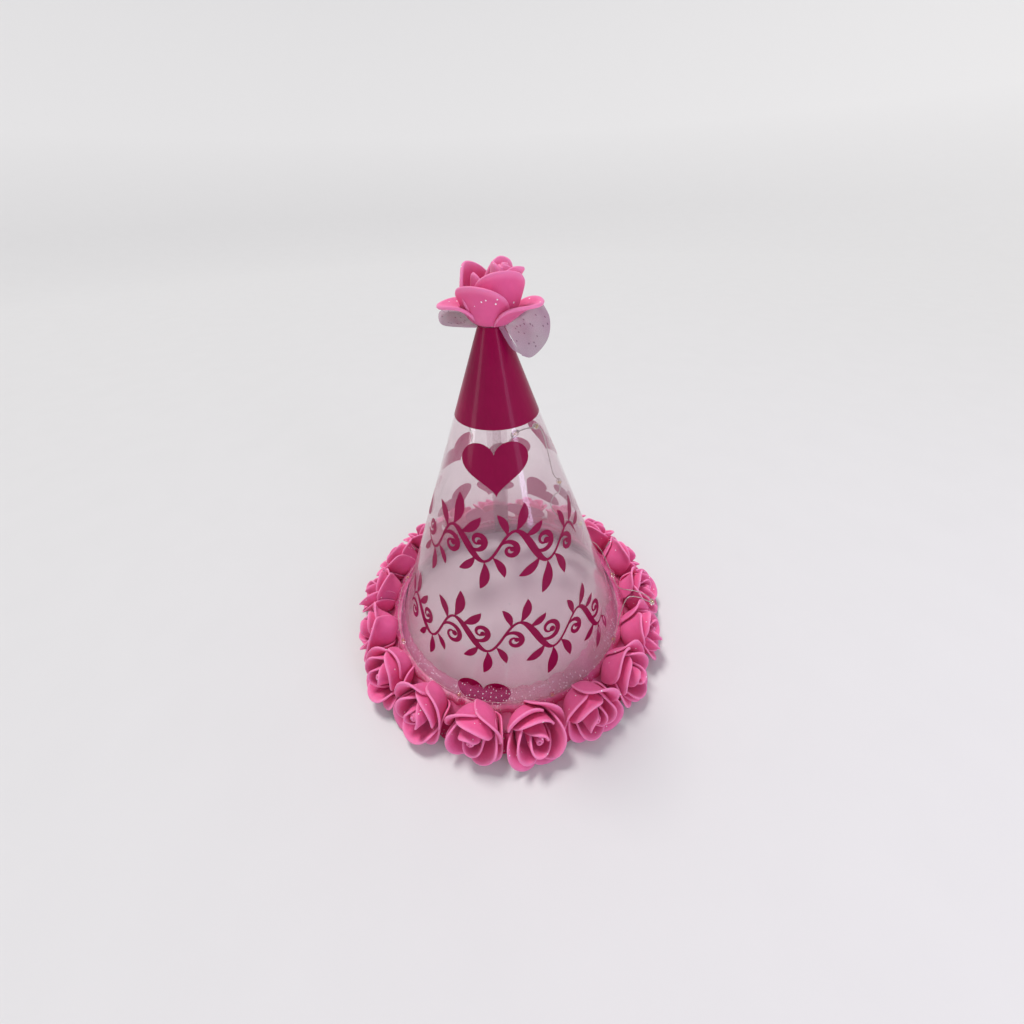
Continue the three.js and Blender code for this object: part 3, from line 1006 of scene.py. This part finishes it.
class HAT_OT_stage(bpy.types.Operator):
    """Make the camera, the soft lights and the pale curved floor"""

    bl_idname = "party_hat.stage"
    bl_label = "Stage"

    def execute(self, context):
        settings = context.scene.party_hat_stage
        scene = context.scene
        data = bpy.data.cameras.new("camera")
        data.sensor_width = 36
        data.lens = 12.98
        data.clip_start = 0.001
        camera = bpy.data.objects.new("camera", data)
        scene.collection.objects.link(camera)
        bearing, pitch, roll = 11.52, 40.29, -2.63
        ahead = Vector((
            -math.sin(math.radians(bearing)) * math.cos(math.radians(pitch)),
            math.cos(math.radians(bearing)) * math.cos(math.radians(pitch)),
            -math.sin(math.radians(pitch)),
        ))
        turn = ahead.to_track_quat("-Z", "Y").to_matrix() @ Matrix.Rotation(
            math.radians(roll), 3, "Z")
        place = (28.9 * MM, -122.5 * MM, 174.6 * MM)
        camera.matrix_world = Matrix.Translation(place) @ turn.to_4x4()
        scene.camera = camera
        scene.view_settings.view_transform = "Standard"
        self.floor(settings)
        self.lights(scene, settings)
        return {"FINISHED"}

    def floor(self, settings):
        """A level disc that curves up into a sloping wall all round, as a spun outline.

        The disc bends up to 20 degrees and goes on as a wall that steepens slowly. Its colour grows
        paler over the first half metre of height and stays so above: painted light that makes up for the
        weaker light on the sloping wall.
        """
        bend = np.radians(np.linspace(0, 20, 9))
        outline = [(0.0005, 0.0), (0.3, 0.0), (0.9, 0.0)]
        outline += [(1.6 + 2.2 * np.sin(a), 2.2 * (1 - np.cos(a))) for a in bend]
        outline += [(8.35, 2.32), (10.4, 3.2), (13.0, 4.5), (16.5, 6.5), (21.0, 9.4)]
        shape = turned_shape(outline, 96)
        paint = Paint("stage_floor")
        grain = paint.noise(paint.place(), 30.0, 3.0)
        colour = tuple(settings.floor)
        dark = tuple(part * 0.97 for part in colour)
        # pale: painted light that lifts the sloping wall, which the key light reaches more weakly than
        # the floor
        pale = tuple(min(0.95, part * 1.13) for part in colour)
        spot = paint.node("ShaderNodeTexCoord", {}, {}, "Object")
        rise = paint.node("ShaderNodeSeparateXYZ", {}, {0: spot}, 2)
        shader = paint.surface({
            "Base Color": paint.blend(
                (rise * 2.0).clamped(), paint.blend(grain, colour, dark), pale),
            "Roughness": 1.0,
            "Specular IOR Level": 0.0,
        })
        mesh = bpy.data.meshes.new("stage_floor")
        mesh.from_pydata(shape["points"].tolist(), [], shape["faces"].tolist())
        mesh.polygons.foreach_set("use_smooth", np.full(len(mesh.polygons), True))
        mesh.materials.append(paint.finished(shader))
        floor = bpy.data.objects.new("stage_floor", mesh)
        bpy.context.scene.collection.objects.link(floor)

    def lights(self, scene, settings):
        """A soft sky, a high key light from the back left, and two tall strips in front.

        The right strip lights everything in lilac. The left strip shows only in gloss.
        """
        world = bpy.data.worlds.new("soft_room")
        world.use_nodes = True
        backdrop = world.node_tree.nodes["Background"]
        backdrop.inputs["Color"].default_value = (0.93, 0.95, 1.0, 1)
        backdrop.inputs["Strength"].default_value = 0.46
        scene.world = world
        key = bpy.data.lights.new("key", "SUN")
        key.energy = settings.key_power
        key.angle = math.radians(16)
        key.color = (1.0, 0.985, 0.965)
        strips = (
            ("strip_right", (0.55, -0.42, 0.3), (0.14, 0.55), 1.1, (0.8, 0.66, 1.0)),
            ("strip_left", (-0.6, -0.46, 0.42), (0.2, 0.6), 1.3, (1.0, 0.97, 0.98)),
        )
        placed_lights = [(key, Vector((-0.36, 0.4, 1.15)))]
        for name, place, size, power, colour in strips:
            data = bpy.data.lights.new(name, "AREA")
            data.shape = "RECTANGLE"
            data.size, data.size_y = size
            data.energy = power
            data.color = colour
            placed_lights.append((data, Vector(place)))
        for data, place in placed_lights:
            light = bpy.data.objects.new(data.name, data)
            light.visible_diffuse = data.name != "strip_left"
            aim = Vector((0, 0, 0.06)) - place
            light.matrix_world = Matrix.Translation(place) @ aim.to_track_quat(
                "-Z", "Y").to_matrix().to_4x4()
            scene.collection.objects.link(light)


class HAT_OT_film(bpy.types.Operator):
    """Roll the clear film cone with its overlapped seam and tape"""

    bl_idname = "party_hat.film"
    bl_label = "Film Cone"

    def execute(self, context):
        settings = context.scene.party_hat_film
        piece_from(
            "film_cone", film_shape(settings), film_finish("clear_film", settings.haze),
            node=("cone_film",),
        )
        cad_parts["seam_tape"].data.materials.clear()
        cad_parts["seam_tape"].data.materials.append(film_finish("clear_tape", 0.1))
        return {"FINISHED"}


class HAT_OT_print(bpy.types.Operator):
    """Print the solid tip, the hearts, and the two rows of curling vine"""

    bl_idname = "party_hat.print"
    bl_label = "Print"

    def execute(self, context):
        settings = context.scene.party_hat_film
        ink = print_finish("raspberry_ink", tuple(settings.ink))
        thin = print_finish("raspberry_ink_thin", tuple(settings.ink), 0.16)
        lift = 0.05 * MM
        self.tip(settings, ink, lift)
        faint = print_finish("raspberry_ink_faint", tuple(settings.ink), 0.34)
        hearts = [
            self.art(turned_flat(heart_grid(width), tilt), bearing, height, lift)
            for bearing, height, width, tilt in self.heart_places(settings.heart)
        ]
        piece_from("printed_front_hearts", joined(hearts[:2]), ink)
        piece_from("printed_back_hearts", joined(hearts[2:]), faint)
        strokes = [
            self.art(grid, bearing, height, lift)
            for grid, bearing, height in self.vines()
        ]
        piece_from("printed_vines", joined(strokes), thin)
        return {"FINISHED"}

    def tip(self, settings, ink, lift):
        bearing = np.linspace(0, 360, 181)[None, :]
        height = np.linspace(settings.band, FILM_TOP, 25)[:, None]
        points = polar(cone_radius(height) + lift / LEAN_COSINE, bearing, height)
        piece_from("printed_tip", open_sheet(points[::-1]), ink)

    def art(self, grid, bearing, height, lift):
        return open_sheet(on_film(grid, bearing, height, lift)[::-1])

    def heart_places(self, width):
        """(bearing, height, width, tilt) of every heart."""
        return (
            (7.5, 104.2 * MM, width, 2),
            (-1.2, 9.6 * MM, width * 0.97, -1),
            (-118, 90 * MM, width * 0.86, -28),
            (180, 83 * MM, width * 0.9, -24),
            (133, 97 * MM, width * 0.8, 22),
            (163, 52 * MM, width, 58),
            (-160, 54 * MM, width * 0.86, 20),
            (-84, 76 * MM, width * 0.8, -16),
            (-128, 52 * MM, width, -36),
            (178, 26 * MM, width, 10),
            (128, 60 * MM, width * 0.9, -14),
            (142, 24 * MM, width, -30),
            (-150, 24 * MM, width, 28),
        )

    def vines(self):
        """Two rows of curling vine drawn flat, each with its bearing and height.

        Each row is (bearing, height, half length, wave, swing, fall, leaf length).
        """
        marks = []
        for bearing, height, half, wave, swing, fall, leaf in (
            (9, 77.0, 37, 25, 6.4, 0.06, 12.5),
            (9, 39.5, 56, 28, 7.0, 0.02, 12.0),
        ):
            for grid in self.vine(half, wave, swing, fall, leaf):
                marks.append((grid * MM, bearing, height * MM))
        return marks

    def vine(self, half, wave, swing, fall, leaf):
        """A waving stem with a curl inside every bend and leaves outside it.

        The stem is y = swing * sin(2 pi x / wave) - fall * x, thin on the crests and
        thick where it comes down. Each curl leaves the stem where it crosses its middle
        line. Its radius shrinks from a fifth of the wave by a fixed share for every
        degree that it turns, so its heading is a logarithm of the distance along it.
        """
        x = np.linspace(-half, half, 420)
        turn = 2 * np.pi * x / wave
        steep = np.cos(turn)
        ends = np.clip((half - np.abs(x)) / 6, 0.12, 1)
        stem = np.stack([x, swing * np.sin(turn) - fall * x], axis=-1)
        strokes = [stroke_grid(stem, (1.1 + 1.9 * np.clip(-steep, 0, 1)) * ends)]
        bends = np.arange(math.ceil(-half / wave * 2 - 0.5), math.floor(half / wave * 2 - 0.5) + 1)
        for k in bends:
            side = 1 if k % 2 == 0 else -1
            crest = (k + 0.5) * wave / 2
            cross = crest - wave / 4
            rise = math.atan(side * swing * 2 * np.pi / wave)
            size = 1 + 0.14 * math.sin(2.3 * k + half)
            t = np.linspace(0, 1, 90)
            shrink = math.log(4.2) / math.radians(480)
            heading = rise + side * np.log(1 - t * (1 - 1 / 4.2)) / shrink
            length = wave * 0.19 * size / shrink * (1 - 1 / 4.2)
            curl = self.traced((cross, -fall * cross), heading, length)
            strokes.append(stroke_grid(curl, 0.9 + 1.4 * np.sin(np.pi * t ** 0.9) ** 2))
            strokes.append(self.spot(curl[-1], 1.15 * size))
            for shift, lean, share, width in (
                (-0.13, 34, 0.8, 3.0), (0.0, -6, 1.0, 3.8), (0.13, -44, 0.8, 3.0),
            ):
                foot = crest + shift * wave
                start = (foot, swing * side * math.cos(2 * np.pi * shift) - fall * foot)
                way = math.radians(76 + lean * side + (180 if side < 0 else 0))
                strokes.append(self.leaf(start, way, leaf * share * size, width * size, side))
        return strokes

    def traced(self, start, heading, length):
        """Points reached by walking a length in equal steps along the headings."""
        steps = np.stack([np.cos(heading), np.sin(heading)], axis=-1) * length / len(heading)
        return np.cumsum(steps, axis=0) + np.array(start)

    def leaf(self, start, way, length, width, side):
        """A brush dab that bends a little, widest past its middle, with fine ends."""
        t = np.linspace(0, 1, 40)
        heading = way + side * np.radians(46) * (t - 0.45)
        path = self.traced(start, heading, length)
        return stroke_grid(path, 0.2 + width * np.sin(np.pi * t ** 1.15) ** 0.9)

    def spot(self, middle, radius):
        """A filled round dot as rings."""
        ring = np.linspace(0, 2 * np.pi, 25)
        disc = np.stack([np.sin(ring), np.cos(ring)], axis=-1)
        return disc[None] * np.linspace(0.003, 1, 4)[:, None, None] * radius + middle


class HAT_OT_brim_roses(bpy.types.Operator):
    """Fold the ring of foam roses round the rim"""

    bl_idname = "party_hat.brim_roses"
    bl_label = "Brim Roses"

    def execute(self, context):
        settings = context.scene.party_hat_roses
        colour, edge = tuple(settings.colour), tuple(settings.cut_edge_and_glow_colour)
        deep = tuple(a * b for a, b in zip(colour, (0.86, 0.7, 0.82)))
        petals = foam_finish("pink_foam", colour, edge, deep)
        buds = foam_finish("bud_foam", tuple(a * 0.97 for a in colour), edge, deep)
        for k, (name, bearing) in enumerate(zip(ROSE_NAMES, ROSE_BEARINGS)):
            dice = np.random.default_rng(settings.seed * 100 + k)
            behind = 0.5 - 0.5 * math.cos(math.radians(bearing - 13))
            face = settings.face_up + 34 * behind + dice.uniform(-11, 9)
            side = dice.uniform(-10, 10)
            turn = (
                Matrix.Rotation(math.radians(bearing + side), 3, "Z")
                @ Matrix.Rotation(math.radians(90 - face), 3, "X")
            )
            middle = polar(settings.ring_radius, bearing, settings.ring_height)
            for part, build, finish, slot in (
                ("bud", rose_bud, buds, "bud_foam"),
                ("petals", rose_petals, petals, "petal_foam"),
            ):
                shape = placed(build(settings.foam, dice, 1.13 * MM), turn, middle)
                piece_from(
                    f"{name}_folded_{part}", settled(shape, bearing), finish,
                    node=(f"{name}_{part}",),
                )
        return {"FINISHED"}


class HAT_OT_top_rose(bpy.types.Operator):
    """Fold the big rose on the tip"""

    bl_idname = "party_hat.top_rose"
    bl_label = "Top Rose"

    def execute(self, context):
        settings = context.scene.party_hat_roses
        foam = settings.foam * 1.1
        colour, edge = tuple(settings.colour), tuple(settings.cut_edge_and_glow_colour)
        deep = tuple(a * b for a, b in zip(colour, (0.86, 0.7, 0.82)))
        finish = foam_finish("top_rose_foam", colour, edge, deep, 0.35)
        soft = tuple(min(1, a * b) for a, b in zip(colour, (1.06, 2.2, 1.45)))
        light = foam_finish("top_bud_foam", soft, edge, colour, 0.35)
        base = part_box("top_rose_outer_petals")[0].z
        dice = np.random.default_rng(settings.seed + 3)
        step = MM
        outer = [
            petal(foam, facing, half, profile((2.2 * step, 0.3 * step), length * step, slopes),
                  side_curl=0.8 * step, wobble=0.4 * step, phase=facing, rows=33, cols=19)
            for facing, half, length, slopes in (
                (-14, 78, 15.0, (-26, 44, 72, 66, 50)),
                (84, 64, 15.6, (-24, 34, 40, 26, 10)),
                (-80, 54, 14.8, (-8, 42, 34, 6, -20)),
                (192, 60, 16.6, (10, 20, 34, 36, 20)),
            )
        ]
        inner = [
            petal(foam, facing, half, profile((2.6 * step, 1.6 * step), length * step, slopes),
                  tuck=tuck * step, side_curl=0.5 * step, wobble=0.3 * step, phase=facing,
                  lop=lop, rows=33, cols=19)
            for facing, half, length, slopes, tuck, lop in (
                (-110, 76, 16.6, (-4, 34, 78, 92, 84), 0.3, 0.0),
                (36, 92, 15.6, (14, 52, 82, 88, 72), 0.5, -0.05),
                (158, 58, 14.6, (18, 54, 82, 88, 72), 0.5, 0.0),
                (-28, 44, 14.6, (18, 56, 84, 92, 84), 0.6, 0.34),
            )
        ]
        bud = [rolled_core(foam, 1.9, 0.4 * step, 3 * step, 15.8 * step, 1.2 * step, 30)]
        bud += petal_layer(foam, dice, 3, 70, 90, (2.4 * step, 3.2 * step), 13.0 * step,
                           (50, 82, 92, 90, 70), tuck=0.9 * step)
        towards = Vector((-math.cos(math.radians(80)), math.sin(math.radians(80)), 0))
        for part, shapes, slot, lean in (
            ("outer_petals", outer, "petal_foam", 2),
            ("inner_petals", inner, "petal_foam", 9),
            ("bud", bud, "bud_foam", 20),
        ):
            turn = Matrix.Rotation(math.radians(lean), 3, towards)
            shape = placed(joined(shapes), turn, (0, 0, base))
            piece_from(
                f"top_rose_folded_{part}", shape, light if part == "bud" else finish,
                node=(f"top_rose_{part}",),
            )
        return {"FINISHED"}


class HAT_OT_tulle(bpy.types.Operator):
    """Gather the dotted tulle round the rim and under the top rose"""

    bl_idname = "party_hat.tulle"
    bl_label = "Tulle"

    def execute(self, context):
        settings = context.scene.party_hat_tulle
        net = tulle_finish("dotted_tulle", tuple(settings.colour), settings.cover, 0.95)
        points, cloth = self.brim(settings)
        shape = {**open_sheet(points), "cloth": cloth.reshape(-1, 2)}
        brim = piece_from("gathered_tulle", shape, net, node=("brim_tulle",))
        lengths = np.linalg.norm(np.diff(points, axis=1), axis=-1).sum(axis=1)
        depth = np.linalg.norm(np.diff(points, axis=0), axis=-1).sum(axis=0)
        # The lobes' net is a greyer, darker mauve than the brim net, and its dots are darker than the
        # brim's.
        doubled = tulle_finish("dotted_tulle_doubled", screen(174, 142, 162), 0.97,
                               dot_colour=screen(150, 116, 138))
        lobes = joined(self.lobes())
        under = piece_from("top_tulle_lobes", lobes, doubled,
                           node=("top_tulle",))
        length = 0.042
        surface_area(lobes) / length
        return {"FINISHED"}

    def brim(self, settings):
        """The strip's path down the hat, turned round the axis and folded.

        From the free edge it comes down the cone to the gather line, leaves the cone
        there to pass over the light string, and goes out under the roses. The free edge
        stands highest at the right. Folds are waves round the hat, with slow changes in
        their phase and depth, that grow away from the gather line.
        """
        lap = 4
        bearing = np.linspace(-180 - lap, 180 + lap, 1081)[None, :]
        angle = np.radians(bearing)
        up = np.linspace(1, 0, 13)[:, None]
        out = np.linspace(0, 1, 21)[1:, None]
        drift = 0.9 * np.sin(3 * angle + 1) + 0.6 * np.sin(7 * angle) + 0.4 * np.sin(11 * angle + 2)
        fold = 0.5 + 0.5 * np.sin(settings.waves * angle + 2.2 * drift)
        gather = 15 * MM
        right = np.exp(-(((bearing - 72) / 34) ** 2))
        reach = settings.frill * np.maximum(0.08 + 0.7 * right + 0.04 * drift, 0.03)
        lift = up * reach
        high_z = gather + lift * LEAN_COSINE
        high_r = cone_radius(high_z) + (0.5 + 0.9 * up ** 1.5 * fold) * MM
        steps = (0, 0.16, 0.26, 0.42, 0.52, 1)
        low_z = np.interp(out, steps, (15.2, 13.6, 11.2, 3.4, 1.6, 1.6)) * MM
        low_r = np.interp(out, steps, (54.9, 58.2, 60.4, 62.2, 64, 74.6)) * MM
        poke = np.exp(-(((bearing + 42) / 5) ** 2)) + 0.8 * np.exp(-(((bearing - 44) / 5) ** 2))
        low_r = low_r + 4.2 * MM * poke * np.clip((out - 0.5) / 0.5, 0, 1)
        low_r = low_r + 0.9 * MM * fold * np.sin(np.pi * np.clip(out / 0.4, 0, 1))
        grow = ease((out - 0.5) / 0.5)
        low_z = low_z + grow * (1.2 + 4.5 * poke) * MM * fold ** 2
        low_r = low_r - grow * 0.8 * MM * (1 - fold) + grow * 0.8 * MM * np.sin(5 * angle)
        radius = np.concatenate([high_r, low_r * np.ones_like(angle)])
        height = np.concatenate([high_z, low_z * np.ones_like(angle)])
        points = polar(radius, bearing * np.ones_like(radius), height)
        along = np.cumsum(np.linalg.norm(np.diff(points[12], axis=0), axis=-1))
        along = np.concatenate([[0], along]) * 1.5
        down = np.linalg.norm(np.diff(points[:, 0], axis=0), axis=-1)
        down = np.concatenate([[0], np.cumsum(down)])
        cloth = np.stack(np.meshgrid(along, down), axis=-1)
        return points, cloth

    def lobes(self):
        """Stiff panels of doubled net that fan out from the neck under the top rose.

        Each is ruled from a point at the neck to an edge, a smooth curve through points
        of (radius, bearing, height), with shallow creases that grow outwards.
        """
        made = []
        for neck, edge in (
            (((4.9, 62, 145.6), (4.6, 96, 145.8)),
             ((13.0, 56, 138.0), (15.4, 62, 137.6), (17.4, 74, 139.8), (18.2, 92, 142.0),
              (18.2, 100, 146.4), (15.8, 106, 150.6))),
            (((5.0, 40, 145.0), (4.9, 60, 145.4)),
             ((7.4, 44, 142.6), (10.0, 50, 139.6), (12.8, 57, 138.2))),
            (((4.9, -98, 145.8), (5.6, -32, 145.6)),
             ((14.6, -118, 148.2), (16.2, -96, 148.6), (16.0, -78, 147.6), (14.8, -64, 146.2),
              (10.0, -48, 145.7), (6.6, -34, 145.3))),
            (((4.9, 130, 145.8), (4.9, 225, 145.8)),
             ((14.6, 132, 146.8), (15.8, 158, 143.4), (15.4, 184, 144.6), (15.8, 212, 143.6),
              (14.6, 232, 146.8))),
        ):
            rim = smooth_path([polar(r * MM, b, z * MM) for r, b, z in edge], 6)
            ends = np.array([polar(r * MM, b, z * MM) for r, b, z in neck])
            u = np.linspace(0, 1, len(rim))[:, None, None]
            v = np.linspace(0, 1, 15)[None, :, None]
            root = ends[0] * (1 - u) + ends[1] * u
            points = root * (1 - v) + rim[:, None] * v
            crease = 0.35 * MM * v * (1 - v) * 2 * np.sin(9 * u + 1)
            points = points + crease * np.array([0, 0, 1.0])
            across = np.linalg.norm(np.diff(rim, axis=0), axis=-1)
            width = np.concatenate([[0], np.cumsum(across)])[:, None]
            depth = np.linalg.norm(rim - root[:, 0], axis=-1)[:, None]
            cloth = np.stack([width * (0.3 + 0.7 * v[..., 0]), depth * v[..., 0]], axis=-1)
            made.append({**open_sheet(points), "cloth": cloth.reshape(-1, 2)})
        return made


class HAT_OT_glue(bpy.types.Operator):
    """Lay the lumpy hot glue that holds the roses"""

    bl_idname = "party_hat.glue"
    bl_label = "Glue"

    def execute(self, context):
        glue = glue_finish("hot_glue")
        for name in ("brim_glue", "tip_glue"):
            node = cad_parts[name]
            node.data.materials.clear()
            node.data.materials.append(glue)
        return {"FINISHED"}


class HAT_OT_light_string(bpy.types.Operator):
    """Twist the two fine wires of the light string and set its beads on them"""

    bl_idname = "party_hat.light_string"
    bl_label = "Light String"

    def execute(self, context):
        settings = context.scene.party_hat_lights
        route = np.array([polar(r * MM, b, z * MM) for r, b, z, *_ in WIRE_ROUTE])
        path = smooth_path(route, 14)
        ahead = unit(np.gradient(path, axis=0))
        side = unit(np.cross(ahead, [0.31, 0.22, 0.93]))
        other = np.cross(ahead, side)
        distance = np.concatenate([[0], np.cumsum(np.linalg.norm(np.diff(path, axis=0), axis=-1))])
        twist = distance * 2 * np.pi / (4.5 * MM)
        strands = []
        for phase in (0, np.pi):
            offset = side * np.cos(twist + phase)[:, None] + other * np.sin(twist + phase)[:, None]
            strands.append(tube(path + offset * settings.strand * 0.85, settings.strand, 6))
        piece_from(
            "light_wires", joined(strands),
            plain_finish("silver_wire", screen(196, 190, 184), 0.36, 0.6, 2500.0),
            node=("light_string",),
        )
        beads, chips = [], []
        for k, spot in enumerate(WIRE_ROUTE):
            if len(spot) == 4:
                way = ahead[min(k * 14, len(ahead) - 1)]
                radii = np.array([0.92, 0.92, 1.35]) * settings.bead
                beads.append(ball(route[k], radii, way=way))
                chips.append(ball(route[k], radii * 0.42, 6, 4, way=way))
        piece_from("light_beads", joined(beads), resin_finish("bead_resin"))
        piece_from("light_chips", joined(chips),
                   plain_finish("chip_phosphor", screen(238, 205, 90), 0.5),
                   smooth=False)
        return {"FINISHED"}


class HAT_OT_battery_case(bpy.types.Operator):
    """Finish the battery case, its cells, contacts and switch"""

    bl_idname = "party_hat.battery_case"
    bl_label = "Battery Case"

    def execute(self, context):
        white = plain_finish("case_plastic", screen(238, 236, 230), 0.38)
        nickel = plain_finish("nickel_plate", screen(196, 194, 188), 0.26, 1.0)
        finishes = {
            "battery_case": white,
            "battery_cap": white,
            "case_collar": plain_finish("collar_foam", screen(214, 211, 206), 0.85, 0.0, 1800.0, 0.0002),
            "circuit_board": plain_finish("board_green", screen(34, 112, 70), 0.42),
            "positive_contact": nickel,
            "return_strip": nickel,
            "cap_spring": nickel,
            "switch_body": nickel,
            "switch_knob": plain_finish("knob_plastic", screen(30, 30, 33), 0.42),
            "button_cell_1": plain_finish("cell_steel", screen(204, 204, 203), 0.22, 1.0),
            "top_rose_stem": plain_finish("stem_wrap", screen(64, 120, 68), 0.7),
        }
        finishes["button_cell_2"] = finishes["button_cell_1"]
        finishes["button_cell_3"] = finishes["button_cell_1"]
        for name, finish in finishes.items():
            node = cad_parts[name]
            node.data.materials.clear()
            node.data.materials.append(finish)
        return {"FINISHED"}


class HAT_PT_panel(bpy.types.Panel):
    """Lists the pieces in the order they are made"""

    bl_idname = "HAT_PT_panel"
    bl_label = "Party Hat"
    bl_space_type = "VIEW_3D"
    bl_region_type = "UI"
    bl_category = "Party Hat"

    def draw(self, context):
        for operator in OPERATORS:
            self.layout.operator(operator.bl_idname)
        for name in SETTINGS:
            box = self.layout.box()
            group = getattr(context.scene, name)
            for key in group.__annotations__:
                box.prop(group, key)


OPERATORS = (
    HAT_OT_stage,
    HAT_OT_film,
    HAT_OT_print,
    HAT_OT_tulle,
    HAT_OT_glue,
    HAT_OT_brim_roses,
    HAT_OT_top_rose,
    HAT_OT_light_string,
    HAT_OT_battery_case,
)
SETTINGS = {
    "party_hat_film": HAT_PG_film,
    "party_hat_roses": HAT_PG_roses,
    "party_hat_tulle": HAT_PG_tulle,
    "party_hat_lights": HAT_PG_lights,
    "party_hat_stage": HAT_PG_stage,
}


def register():
    for group in SETTINGS.values():
        bpy.utils.register_class(group)
    for name, group in SETTINGS.items():
        setattr(bpy.types.Scene, name, PointerProperty(type=group))
    for operator in OPERATORS:
        bpy.utils.register_class(operator)
    bpy.utils.register_class(HAT_PT_panel)


def unregister():
    bpy.utils.unregister_class(HAT_PT_panel)
    for operator in reversed(OPERATORS):
        bpy.utils.unregister_class(operator)
    for name in SETTINGS:
        delattr(bpy.types.Scene, name)
    for group in reversed(SETTINGS.values()):
        bpy.utils.unregister_class(group)


def main():
    register()
    for operator in OPERATORS:
        group, action = operator.bl_idname.split(".")
        getattr(getattr(bpy.ops, group), action)()


if __name__ == "__main__":
    main()
